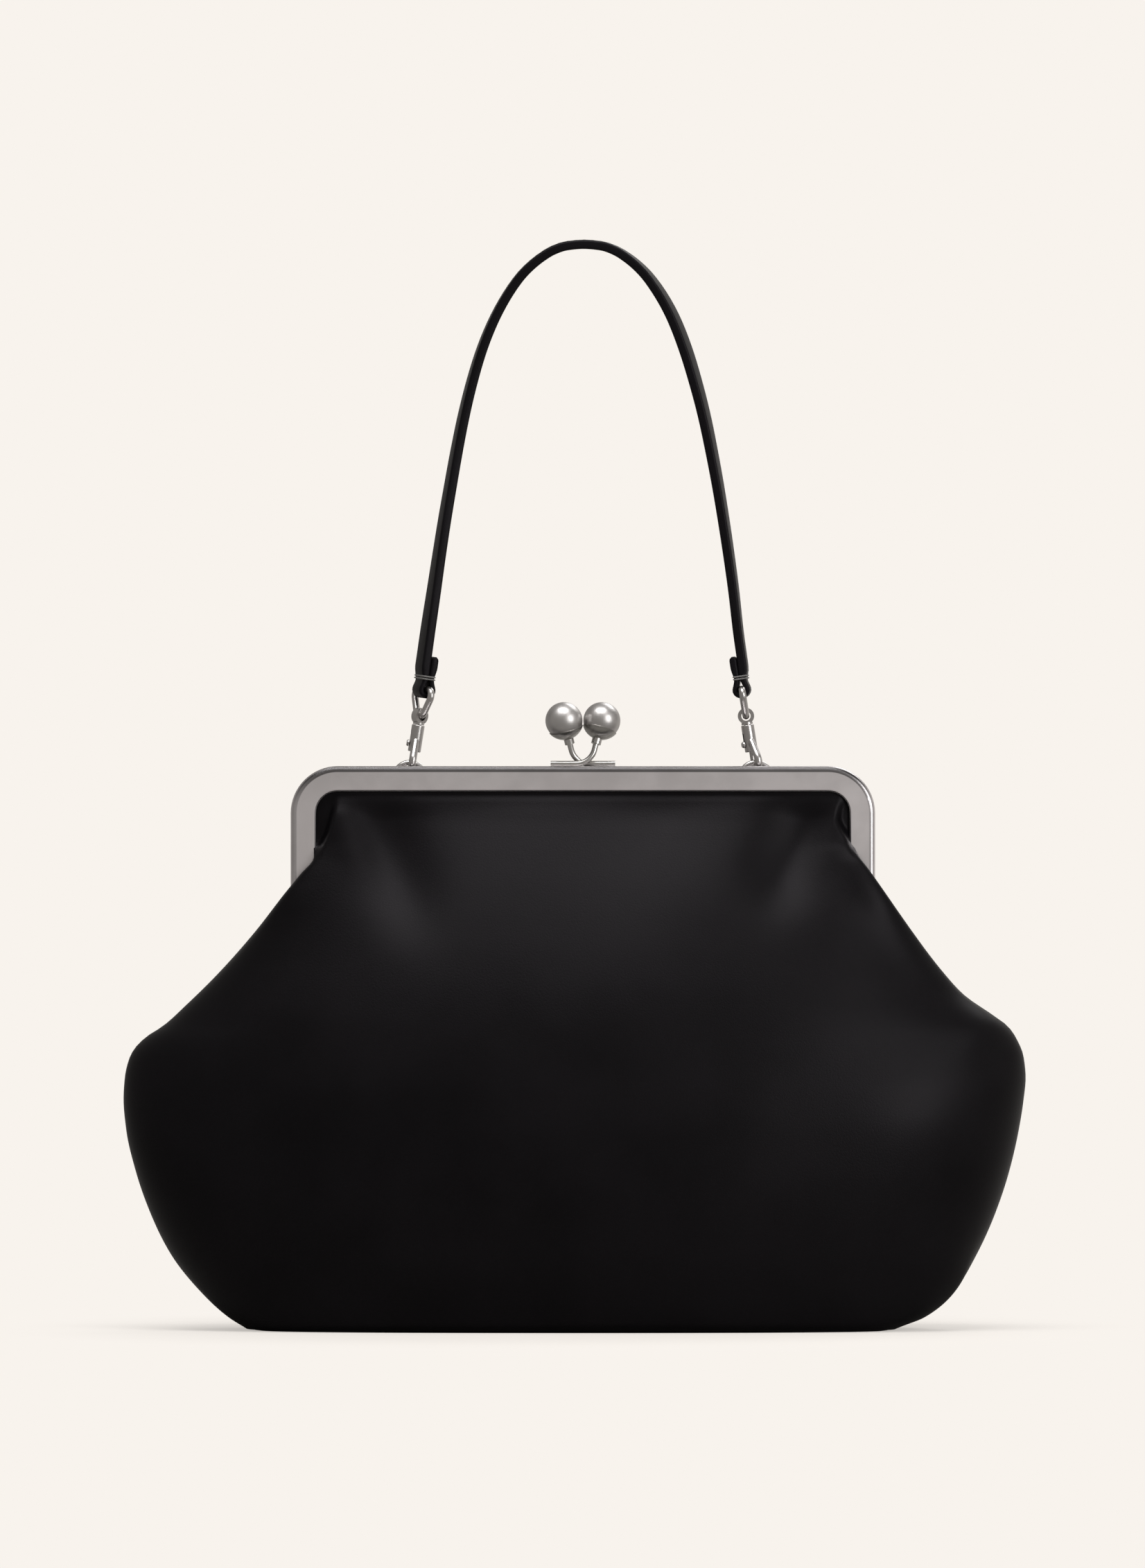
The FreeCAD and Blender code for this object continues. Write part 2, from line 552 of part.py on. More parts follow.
def oval_ring():
    """Pear shaped ring in the plane of the strap's width, upright, its foot in the middle of the eye."""
    low = eye_height()
    high = low + RING_HEIGHT
    half = STRAP_WIDTH / 2 + RING_SIDE_PLAY + RING_WIRE_RADIUS
    foot_z = low + RING_FOOT_RADIUS
    top_y, top_z = half - RING_CORNER, high - RING_CORNER
    apart = math.hypot(top_y, top_z - foot_z)
    slope = math.atan2(top_z - foot_z, top_y)
    turn = math.acos((RING_FOOT_RADIUS - RING_CORNER) / apart)
    normal = slope - turn

    def at(y, z, radius, angle):
        return V(0, y + radius * math.cos(angle), z + radius * math.sin(angle))

    def flip(point):
        return V(0, -point.y, point.z)

    foot_tangent = at(0, foot_z, RING_FOOT_RADIUS, normal)
    side_tangent = at(top_y, top_z, RING_CORNER, normal)
    corner_middle = at(top_y, top_z, RING_CORNER, (normal + math.pi / 2) / 2)
    corner_top = V(0, top_y, high)
    path = [
        Part.makeLine(V(0, 0, high), flip(corner_top)),
        Part.Arc(flip(corner_top), flip(corner_middle), flip(side_tangent)).toShape(),
        Part.makeLine(flip(side_tangent), flip(foot_tangent)),
        Part.Arc(flip(foot_tangent), V(0, 0, low), foot_tangent).toShape(),
        Part.makeLine(foot_tangent, side_tangent),
        Part.Arc(side_tangent, corner_middle, corner_top).toShape(),
        Part.makeLine(corner_top, V(0, 0, high)),
    ]
    return round_wire(path, RING_WIRE_RADIUS)


def hang(shape, side, twist):
    """Put an upright hook piece in its place on a D-ring: turned, leaning in to the strap."""
    lean = math.radians(HOOK_LEAN_ANGLE)
    along = V(-side * math.sin(lean), 0, math.cos(lean))
    arc_centre = V(side * D_RING_X, D_RING_Y + HOOK_SEAT_OUT, D_ARC_HEIGHT)
    placed = shape.rotate(V(0, 0, 0), Z_AXIS, twist)
    placed = placed.rotate(V(0, 0, 0), Y_AXIS, -side * HOOK_LEAN_ANGLE)
    return placed.translate(arc_centre + along * (D_RING_RADIUS + hook_seat()))


def strap():
    """Strap in its own plane: a band over the top, with a loop and the tab of its fold at each end."""
    lean = math.radians(HOOK_LEAN_ANGLE)
    along_hook = hook_seat() + eye_height() + RING_HEIGHT
    loop_x = D_RING_X - (D_RING_RADIUS + along_hook) * math.sin(lean)
    loop_z = D_ARC_HEIGHT + (D_RING_RADIUS + along_hook) * math.cos(lean)
    plane_y = D_RING_Y + HOOK_SEAT_OUT
    top_z = loop_z + STRAP_RISE
    half = STRAP_THICKNESS / 2
    bore = RING_WIRE_RADIUS + LAYER_GAP

    # centres of the three arcs, from the top down; each starts where the one before it ends
    first = V(0, 0, top_z - STRAP_TOP_RADIUS)

    def spoke(angle):
        return V(math.sin(angle), 0, math.cos(angle))

    turn_one, turn_two = math.radians(STRAP_TOP_ANGLE), math.radians(STRAP_SHOULDER_ANGLE)
    second = first - spoke(turn_one) * (STRAP_SHOULDER_RADIUS - STRAP_TOP_RADIUS)
    third = second - spoke(turn_two) * (STRAP_LEG_RADIUS - STRAP_SHOULDER_RADIUS)
    to_loop = V(loop_x, 0, loop_z) - third
    leg_radius = STRAP_LEG_RADIUS - half
    turn_three = math.acos(leg_radius / to_loop.Length) + math.atan2(to_loop.z, to_loop.x)
    turn_three = math.pi / 2 - turn_three
    out = spoke(turn_three)
    down = V(out.z, 0, -out.x)
    loop = V(loop_x, 0, loop_z)

    arcs = (
        (first, STRAP_TOP_RADIUS, 0.0, turn_one),
        (second, STRAP_SHOULDER_RADIUS, turn_one, turn_two),
        (third, STRAP_LEG_RADIUS, turn_two, turn_three),
    )

    def edge_points(offset):
        points = []
        for centre, radius, start, end in arcs:
            turns = (start, (start + end) / 2, end)
            points.append([centre + spoke(turn) * (radius + offset) for turn in turns])
        return points

    def shifted(point, flip):
        return V(-point.x if flip else point.x, plane_y - STRAP_WIDTH / 2, point.z)

    shapes = []
    for flip in (False, True):
        outer = edge_points(half)
        inner = edge_points(-half)
        edges = [Part.Arc(*(shifted(p, flip) for p in row)).toShape() for row in outer]
        outer_end = shifted(loop + out * STRAP_THICKNESS, flip)
        edges.append(Part.makeLine(shifted(outer[-1][2], flip), outer_end))
        edges.append(Part.makeLine(outer_end, shifted(loop, flip)))
        edges.append(Part.makeLine(shifted(loop, flip), shifted(inner[-1][2], flip)))
        edges += [Part.Arc(*(shifted(p, flip) for p in row[::-1])).toShape() for row in inner[::-1]]
        edges.append(Part.makeLine(shifted(inner[0][0], flip), shifted(outer[0][0], flip)))
        shapes.append(Part.Face(Part.Wire(edges)).extrude(V(0, STRAP_WIDTH, 0)))

        tab_end = loop - down * TAB_LENGTH
        round_end = tab_end - out * (TAB_THICKNESS / 2) - down * (TAB_THICKNESS / 2)
        corners = (loop, tab_end, tab_end - out * TAB_THICKNESS, loop - out * TAB_THICKNESS)
        low_out, high_out, high_in, low_in = (shifted(corner, flip) for corner in corners)
        tab = Part.Wire([
            Part.makeLine(low_out, high_out),
            Part.Arc(high_out, shifted(round_end, flip), high_in).toShape(),
            Part.makeLine(high_in, low_in),
            Part.makeLine(low_in, low_out),
        ])
        shapes.append(Part.Face(tab).extrude(V(0, STRAP_WIDTH, 0)))
        shapes.append(Part.makeCylinder(bore + LOOP_WALL, STRAP_WIDTH, shifted(loop, flip), Y_AXIS))
    whole = shapes[0].multiFuse(shapes[1:]).removeSplitter()
    for flip in (False, True):
        whole = whole.cut(Part.makeCylinder(bore, STRAP_WIDTH, shifted(loop, flip), Y_AXIS))
    return whole


def bag_pieces():
    """Leather, lining and board of the bag."""
    pieces = {}
    base_width, base_depth = (size - LEATHER - LAYER_GAP for size in bag_rings()[0][1:])
    board_top = BASE_THICKNESS + BOARD
    lining_foot = board_top + LINING + LAYER_GAP
    lining_inset = LEATHER + LINING_GAP
    floor_inset = lining_inset + LINING + LAYER_GAP
    floor_width, floor_depth = (size - floor_inset for size in ring_at(lining_foot))
    walls = {
        "panel": bag_wall(0, LEATHER, EDGE_HEIGHT, RIM_HEIGHT),
        "lining": bag_wall(lining_inset, LINING, lining_foot, RIM_HEIGHT - LINING_STOP),
        "panel_top": panel_top(0, LEATHER, FOOT_HEIGHT, PANEL_TOP),
        "lining_top": panel_top(LEATHER + LAYER_GAP / 2, LINING, RIM_HEIGHT, FRAME_INNER_TOP),
    }
    for name, wall in walls.items():
        pieces["front_" + name] = wall
        pieces["back_" + name] = to_back(wall)
    pieces["base_panel"] = flat_piece(base_width, base_depth, 0, BASE_THICKNESS)
    board_width, board_depth = (size - 2 * LEATHER for size in (base_width, base_depth))
    pieces["base_board"] = flat_piece(board_width, board_depth, BASE_THICKNESS, BOARD)
    pieces["base_lining"] = flat_piece(floor_width, floor_depth, board_top, LINING)
    return pieces


def frame_pieces():
    """Frame halves, rivets and kiss lock."""
    pieces = {
        "front_frame": frame_half(True),
        "back_frame": frame_half(False).rotate(V(0, 0, 0), Z_AXIS, 180),
        "hinge_rivet_left": hinge_rivet(-1),
        "hinge_rivet_right": hinge_rivet(1),
    }
    for name, shape in zip(("clasp_stem", "clasp_collar", "ball_cup", "ball"), kiss_lock()):
        pieces["front_" + name] = shape
        pieces["back_" + name] = shape.copy().rotate(V(0, 0, 0), Z_AXIS, 180)
    return pieces


def strap_pieces():
    """Strap, oval rings, hooks and D-rings."""
    pieces = {"strap": strap()}
    for name, side, twist in (("left", -1, 0.0), ("right", 1, HOOK_TWIST_ANGLE)):
        body, bolt, spring, eye = hook_pieces()
        pieces["d_ring_" + name] = d_ring(side * D_RING_X)
        pieces["d_ring_bracket_" + name] = d_ring_bracket(side * D_RING_X)
        pieces["hook_body_" + name] = hang(body, side, twist)
        pieces["hook_bolt_" + name] = hang(bolt, side, twist)
        pieces["bolt_spring_" + name] = hang(spring, side, twist)
        pieces["swivel_eye_" + name] = hang(eye, side, 0.0)
        pieces["oval_ring_" + name] = hang(oval_ring(), side, 0.0)
    return pieces


os.makedirs("parts", exist_ok=True)
for group in (bag_pieces(), frame_pieces(), strap_pieces()):
    for node, shape in group.items():
        shape.exportStep(os.path.join("parts", node + ".step"))
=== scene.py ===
import math

import bpy
import numpy as np
from mathutils import Matrix, Vector


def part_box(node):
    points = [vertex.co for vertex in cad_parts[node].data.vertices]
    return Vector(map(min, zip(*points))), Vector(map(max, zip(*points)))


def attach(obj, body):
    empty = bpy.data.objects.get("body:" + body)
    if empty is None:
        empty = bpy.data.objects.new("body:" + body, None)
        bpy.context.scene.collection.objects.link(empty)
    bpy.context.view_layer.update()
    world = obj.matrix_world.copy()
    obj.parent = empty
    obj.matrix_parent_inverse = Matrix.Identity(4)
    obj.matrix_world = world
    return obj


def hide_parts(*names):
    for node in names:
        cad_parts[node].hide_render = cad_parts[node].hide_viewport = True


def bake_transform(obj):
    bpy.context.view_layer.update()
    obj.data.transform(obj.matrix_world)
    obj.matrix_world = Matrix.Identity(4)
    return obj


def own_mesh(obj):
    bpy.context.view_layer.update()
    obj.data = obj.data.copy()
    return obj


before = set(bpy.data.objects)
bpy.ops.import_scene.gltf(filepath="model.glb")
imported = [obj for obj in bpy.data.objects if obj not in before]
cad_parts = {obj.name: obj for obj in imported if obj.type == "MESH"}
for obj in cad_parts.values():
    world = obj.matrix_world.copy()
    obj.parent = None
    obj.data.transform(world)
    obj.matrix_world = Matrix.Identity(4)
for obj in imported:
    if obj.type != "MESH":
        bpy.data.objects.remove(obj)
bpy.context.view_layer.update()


# Studio: the bag stands on a pale seamless sweep, seen almost level through a long lens.
# One wide softbox hangs above and in front of it, one stands to the right and a weak one hangs behind.
# In reflections the room is dimmer than the sweep at the front, on the left and overhead.
MM = 0.001
PHOTO_WIDTH, PHOTO_HEIGHT = 1652, 2262
MM_PER_PIXEL = 0.28
FRAME_CENTRE_PIXEL = 841
FLOOR_PIXEL = 1918
VIEW_DISTANCE = 7.0
VIEW_ELEVATION = math.radians(0.2)
SENSOR = 36.0
SWEEP_COLOUR = (0.939, 0.896, 0.847, 1)
SWEEP_RADIUS, SWEEP_SIDES = 4.0, 96
GLOW_FADE = (0.2, 0.36)
SHADOW_FADE, SHADOW_LIFT = (0.13, 0.25), 0.52
PAPER_SHARE = 0.79
FLOOR_DIMMING = 0.6
ROOM_SHARE, BACK_SHARE = 0.34, 0.3
FRONT_FADE, LEFT_FADE, OVERHEAD_FADE = (-0.35, 0.2), (-0.35, 0.15), (0.3, 0.8)
AMBIENT_COLOUR, AMBIENT_STRENGTH = (1, 0.98, 0.96, 1), 0.45
BLACK = (0, 0, 0, 1)
LIGHT_AIM = (0, 0, 0.15)


class Flow:
    """A socket in a material's nodes. Arithmetic on it adds Math nodes."""

    def __init__(self, tree, socket=None):
        self.tree = tree
        self.socket = socket

    def node(self, kind, settings=None, inputs=None, output=0):
        """Add a node, set its settings, then its sockets' values or links, and return one output."""
        made = self.tree.nodes.new(kind)
        for key, value in (settings or {}).items():
            setattr(made, key, value)
        for key, value in (inputs or {}).items():
            if isinstance(value, Flow):
                self.tree.links.new(value.socket, made.inputs[key])
            else:
                made.inputs[key].default_value = value
        return Flow(self.tree, made.outputs[output] if len(made.outputs) else None)

    def math(self, operation, first, second):
        return self.node("ShaderNodeMath", {"operation": operation}, {0: first, 1: second})

    def __add__(self, other):
        return self.math("ADD", self, other)

    def __radd__(self, other):
        return self.math("ADD", other, self)

    def __sub__(self, other):
        return self.math("SUBTRACT", self, other)

    def __rsub__(self, other):
        return self.math("SUBTRACT", other, self)

    def __mul__(self, other):
        return self.math("MULTIPLY", self, other)

    def __rmul__(self, other):
        return self.math("MULTIPLY", other, self)

    def __pow__(self, other):
        return self.math("POWER", self, other)

    def between(self, low, high):
        """0 below low, 1 above high and a smooth step in between."""
        return self.node("ShaderNodeMapRange", {"interpolation_type": "SMOOTHSTEP"},
                         {"Value": self, "From Min": low, "From Max": high})

    def mixed(self, low_colour, high_colour):
        """The colour between two colours at this share."""
        return self.node("ShaderNodeMix", {"data_type": "RGBA"}, {0: self, 6: low_colour, 7: high_colour}, 2)


def blank_material(name):
    """A new material with no nodes, and the flow that adds them."""
    material = bpy.data.materials.new(name)
    material.use_nodes = True
    material.node_tree.nodes.clear()
    return material, Flow(material.node_tree)


def finish_material(flow, shader):
    """Let a shader be what the material shows."""
    flow.node("ShaderNodeOutputMaterial", None, {"Surface": shader})


def toned(colour, share):
    """An opaque colour whose three parts are a share of another's."""
    return tuple(share * part for part in colour[:3]) + (1,)


def seen_directly(flow):
    """1 for camera, glossy and transmission rays, which should meet the bright sweep."""
    camera = flow.node("ShaderNodeLightPath", output="Is Camera Ray")
    glossy = flow.node("ShaderNodeLightPath", output="Is Glossy Ray")
    through = flow.node("ShaderNodeLightPath", output="Is Transmission Ray")
    return flow.math("MINIMUM", camera + glossy + through, 1.0)


def backdrop_share(flow, toward):
    """Brightness in a direction: full for the camera, less in reflections of the front, left and ceiling."""
    across, along, up = [flow.node("ShaderNodeSeparateXYZ", None, {"Vector": toward}, axis)
                         for axis in "XYZ"]
    behind = along.between(*FRONT_FADE) * (1 - up.between(*OVERHEAD_FADE)) * across.between(*LEFT_FADE)
    camera_ray = flow.node("ShaderNodeLightPath", output="Is Camera Ray")
    return flow.math("MAXIMUM", behind * BACK_SHARE + ROOM_SHARE, camera_ray)


sweep_material, flow = blank_material("sweep_paper")
place = flow.node("ShaderNodeTexCoord", output="Object")
far = flow.node("ShaderNodeVectorMath", {"operation": "LENGTH"}, {0: place}, "Value")
# away from the bag the paper passes into an even glow, and the camera sees its shadow softened
glowing = far.between(*GLOW_FADE) * seen_directly(flow)
softened = far.between(*SHADOW_FADE) * (1 - SHADOW_LIFT) + SHADOW_LIFT
softened = softened * flow.node("ShaderNodeLightPath", output="Is Camera Ray")
paper = flow.node("ShaderNodeBsdfDiffuse", None, {"Color": toned(SWEEP_COLOUR, PAPER_SHARE)})
outward = flow.node("ShaderNodeVectorMath", {"operation": "NORMALIZE"}, {0: place})
bright = flow.node("ShaderNodeEmission", None, {
    "Color": SWEEP_COLOUR, "Strength": backdrop_share(flow, outward)})
under_bag = flow.node("ShaderNodeMixShader", None, {
    0: flow.node("ShaderNodeLightPath", output="Is Glossy Ray") * FLOOR_DIMMING, 1: paper,
    2: flow.node("ShaderNodeBsdfDiffuse", None, {"Color": BLACK})})
finish_material(flow, flow.node("ShaderNodeMixShader", None, {
    0: flow.math("MAXIMUM", glowing, softened), 1: under_bag, 2: bright}))

bpy.ops.mesh.primitive_circle_add(vertices=SWEEP_SIDES, radius=SWEEP_RADIUS, fill_type="NGON")
sweep = bpy.context.object
sweep.name = "sweep"
sweep.data.materials.append(sweep_material)

world = bpy.data.worlds.new("studio")
bpy.context.scene.world = world
world.use_nodes = True
world.node_tree.nodes.clear()
flow = Flow(world.node_tree)
toward = flow.node("ShaderNodeTexCoord", output="Generated")
backdrop = flow.node("ShaderNodeBackground", None, {
    "Color": SWEEP_COLOUR, "Strength": backdrop_share(flow, toward)})
ambient = flow.node("ShaderNodeBackground", None, {
    "Color": AMBIENT_COLOUR, "Strength": AMBIENT_STRENGTH})
sky = flow.node("ShaderNodeMixShader", None, {0: seen_directly(flow), 1: ambient, 2: backdrop})
flow.node("ShaderNodeOutputWorld", None, {"Surface": sky})


def softbox(name, place, size, watts):
    """A rectangular area lamp that faces the bag."""
    data = bpy.data.lights.new(name, "AREA")
    data.shape = "RECTANGLE"
    data.size, data.size_y = size
    data.energy = watts
    lamp = bpy.data.objects.new(name, data)
    lamp.location = place
    lamp.rotation_mode = "QUATERNION"
    lamp.rotation_quaternion = (Vector(LIGHT_AIM) - Vector(place)).to_track_quat("-Z", "Y")
    bpy.context.scene.collection.objects.link(lamp)


softbox("top_softbox", (-0.1, -0.5, 1.5), size=(1.1, 0.55), watts=16)
softbox("right_softbox", (1.05, -1.15, 0.6), size=(0.7, 0.9), watts=11)
softbox("back_softbox", (0.55, 0.85, 1.25), size=(0.9, 0.5), watts=6)

camera_data = bpy.data.cameras.new("camera")
camera_data.sensor_width = SENSOR
camera_data.lens = SENSOR * VIEW_DISTANCE / (PHOTO_HEIGHT * MM_PER_PIXEL * MM)
camera = bpy.data.objects.new("camera", camera_data)
bpy.context.scene.collection.objects.link(camera)
bpy.context.scene.camera = camera
aim = Vector((
    (PHOTO_WIDTH / 2 - FRAME_CENTRE_PIXEL) * MM_PER_PIXEL * MM,
    0,
    (FLOOR_PIXEL - PHOTO_HEIGHT / 2) * MM_PER_PIXEL * MM,
))
back = Vector((0, -math.cos(VIEW_ELEVATION), math.sin(VIEW_ELEVATION)))
camera.location = aim + back * VIEW_DISTANCE
camera.rotation_mode = "QUATERNION"
camera.rotation_quaternion = (-back).to_track_quat("-Z", "Y")
bpy.context.scene.view_settings.view_transform = "Standard"


# Bag leather: two big panels of smooth, soft, black full-grain leather, sewn together up the sides.
# They hang from the frame's channels, so they fold at the frame's corners and slump into round ears.
LEATHER_THICKNESS = 1.6
ROW_COUNT, COLUMN_COUNT = 150, 190
PANEL_BOTTOM, PANEL_TOP = 0.6, 221.4
ROW_CROWDING = 0.09

# pairs of height and size, from the base up: the two outlines, half the depth, how far the edges lie from
# the middle plane, the two folds at the frame's corners and how full the section is, where 2 is an ellipse
LEFT_EDGE = [(0.6, 136), (5, 143.1), (13.4, 152.6), (30.2, 166.3), (47, 174.7), (63.8, 180.6), (80.6, 184.5),
             (93.2, 185.6), (101.6, 185.1), (110, 183.1), (114.2, 180.6), (118.4, 176.2), (122.6, 169.7),
             (131, 160.4), (143.6, 147.6), (160.4, 132.7), (177.2, 119.6), (184, 114), (191, 108.6),
             (194, 108.6), (197, 109.4), (222, 109.4)]
RIGHT_EDGE = [(0.6, 126), (5, 138), (13.4, 148.4), (30.2, 159), (47, 166.6), (63.8, 172.2), (80.6, 176.1),
              (93.2, 178.1), (101.6, 178.9), (110, 178.1), (118.4, 174.7), (122.6, 171.6), (126.8, 166),
              (135.2, 154), (143.6, 146.2), (160.4, 133.3), (177.2, 121.5), (185, 116), (192, 111),
              (197, 109.2), (200, 109.4), (222, 109.4)]
HALF_DEPTH = [(0.6, 43.8), (2, 46.2), (4, 48.5), (7, 49.9), (13, 51.8), (32, 55.8), (62, 58.2), (80, 57.5),
              (95, 55.6), (108, 52.9), (122, 49), (135, 44.4), (150, 38), (165, 30.8), (178, 24.1),
              (190, 17.6), (200, 12.1), (207, 8.3), (213, 5.4), (217.2, 3.75), (222, 3.65)]
EDGE_RECESS = [(0.6, 0.06), (148, 0.06), (158, 1.4), (166, 4), (173, 7.2), (179, 8.2), (188, 8.2), (193, 6),
               (198, 2.8), (204, 2.5), (211, 2.6), (217, 3.2), (222, 3.4)]
GROOVE_LEFT = [(188, 108), (192, 107.4), (202, 103.2), (210, 101.2), (216, 100.4), (222, 100)]
GROOVE_RIGHT = [(192, 109.6), (197.6, 108), (203, 104.8), (206.5, 103.5), (210, 104), (214, 105.4),
                (222, 106)]
FULLNESS = [(0.6, 2.4), (30, 2.3), (62, 2.16), (95, 2.05), (112, 2.0), (130, 2.08), (165, 2.35), (190, 2.6),
            (222, 2.9)]
THROAT = 191.0
EDGE_SPREAD = 22.0
EDGE_POWER, RECESS_POWER = 6, 10
SINK_HEIGHTS, SINK_WIDTHS = (190, 196), (-2.5, 1.5)
WIDE_WAVE, WIDE_ACROSS, WIDE_UP = 0.35, 29, 24
FINE_WAVE, FINE_ACROSS, FINE_UP = 0.2, 13, 19
BASE_FADE, TOP_FADE, SEAM_FADE = (0.6, 9), (207, 217), (0.85, 0.97)
LEATHER_FACE = 1.9
ARM_ENDS, BELOW_ARMS = (189, 196), 60.0


def smooth_through(points):
    """A function that runs smoothly through the points without overshoot."""
    place, value = np.array(points, float).T
    step = np.diff(place)
    slope = np.diff(value) / step
    tangent = np.zeros(len(place))
    same = slope[:-1] * slope[1:] > 0
    weight_low = 2 * step[1:] + step[:-1]
    weight_high = step[1:] + 2 * step[:-1]
    product = np.where(same, slope[:-1] * slope[1:], 1)
    total = np.where(same, weight_low * slope[1:] + weight_high * slope[:-1], 1)
    tangent[1:-1] = np.where(same, (weight_low + weight_high) * product / total, 0)
    tangent[0], tangent[-1] = slope[0], slope[-1]

    def value_at(where):
        where = np.clip(where, place[0], place[-1])
        low = np.clip(np.searchsorted(place, where, side="right") - 1, 0, len(step) - 1)
        share = (where - place[low]) / step[low]
        start, end = value[low], value[low + 1]
        rise_start, rise_end = tangent[low] * step[low], tangent[low + 1] * step[low]
        return (start * (1 + 2 * share) * (1 - share) ** 2 + rise_start * share * (1 - share) ** 2
                + end * share ** 2 * (3 - 2 * share) + rise_end * share ** 2 * (share - 1))

    return value_at


def evened(curve, spread):
    """A function of height that follows a curve, with everything narrower than the spread evened out."""
    height = np.arange(PANEL_BOTTOM, PANEL_TOP + 1, 1.0)
    weight = np.exp(-((height[:, None] - height) / spread) ** 2)
    even = weight @ curve(height) / weight.sum(axis=1)
    return lambda where: np.interp(where, height, even)


def smooth_step(low, high, value):
    """0 below low, 1 above high and a smooth rise in between."""
    share = np.clip((value - low) / (high - low), 0, 1)
    return share * share * (3 - 2 * share)


def grid_normals(points):
    """Unit normals of a grid of points, facing to the side that the columns turn away from."""
    along = np.gradient(points, axis=1)
    up = np.gradient(points, axis=0)
    normal = np.cross(along, up)
    return normal / np.maximum(np.linalg.norm(normal, axis=2, keepdims=True), 1e-9)


def bent_line(points, count=48):
    """Points along a smooth line through a few x, z places."""
    places = np.array(points, float)
    knots = np.linspace(0, 1, len(places))
    shares = np.linspace(0, 1, count)
    columns = [smooth_through(list(zip(knots, places[:, axis])))(shares) for axis in (0, 1)]
    return np.stack(columns, axis=1)


def fold_height(points, line, rise, width, start_fade, end_fade):
    """How far one fold lifts each point of the panel: a soft ridge, or a valley where rise is below 0."""
    line = bent_line(line)
    step = np.linalg.norm(np.gradient(line, axis=0), axis=1)
    share = np.linspace(0, 1, len(line))
    strength = smooth_step(0, start_fade, share) * (1 - smooth_step(1 - end_fade, 1, share))
    strength = rise * strength * step / (width * math.sqrt(math.pi))
    lift = np.zeros(points.shape[:2])
    for (across, up), part in zip(line, strength):
        lift += part * np.exp(-((points[..., 0] - across) ** 2 + (points[..., 2] - up) ** 2) / width ** 2)
    return lift


FRONT_FOLDS = [
    # line, rise, width, fade at its start and at its end
    ([(-101, 216), (-97, 205), (-91, 192), (-84, 178)], 2.0, 8, 0.1, 0.6),
    ([(-89, 216), (-80, 198), (-71, 176), (-60, 152)], -4.2, 14, 0.2, 0.5),
    ([(97, 215), (89, 198), (79, 181), (69, 164)], -4.6, 14, 0.1, 0.5),
    ([(104, 216), (102, 205), (95, 190), (88, 176)], 2.4, 8, 0.1, 0.6),
    ([(106, 204), (113, 186), (129, 163), (148, 142), (164, 129)], 2.2, 8, 0.2, 0.25),
    ([(174, 115), (166, 111), (156, 107)], -1.6, 7, 0.3, 0.7),
    ([(168, 127), (158, 122), (148, 117)], 0.8, 8, 0.3, 0.6),
    ([(160, 100), (130, 86), (96, 76)], 2.6, 24, 0.4, 0.6),
    ([(154, 8), (147, 24), (138, 42)], 4.0, 14, 0.3, 0.7),
    ([(-130, 6), (-126, 14), (-120, 26)], -2.0, 8, 0.3, 0.7),
]
BACK_FOLDS = [
    ([(98, 214), (90, 194), (78, 170), (60, 148)], 5.0, 10, 0.3, 0.6),
    ([(66, 215), (58, 198), (52, 178)], -5.5, 12, 0.25, 0.6),
    ([(-99, 212), (-86, 198), (-70, 182), (-58, 166)], -5.5, 11, 0.2, 0.6),
    ([(-92, 202), (-98, 182), (-112, 157), (-130, 136)], 2.6, 9, 0.25, 0.4),
    ([(-20, 205), (-8, 180), (-14, 150)], 3.0, 36, 0.4, 0.7),
    ([(-150, 84), (-110, 66), (-80, 60)], 2.5, 28, 0.4, 0.6),
    ([(134, 96), (110, 84), (84, 80)], -2.0, 22, 0.4, 0.6),
]


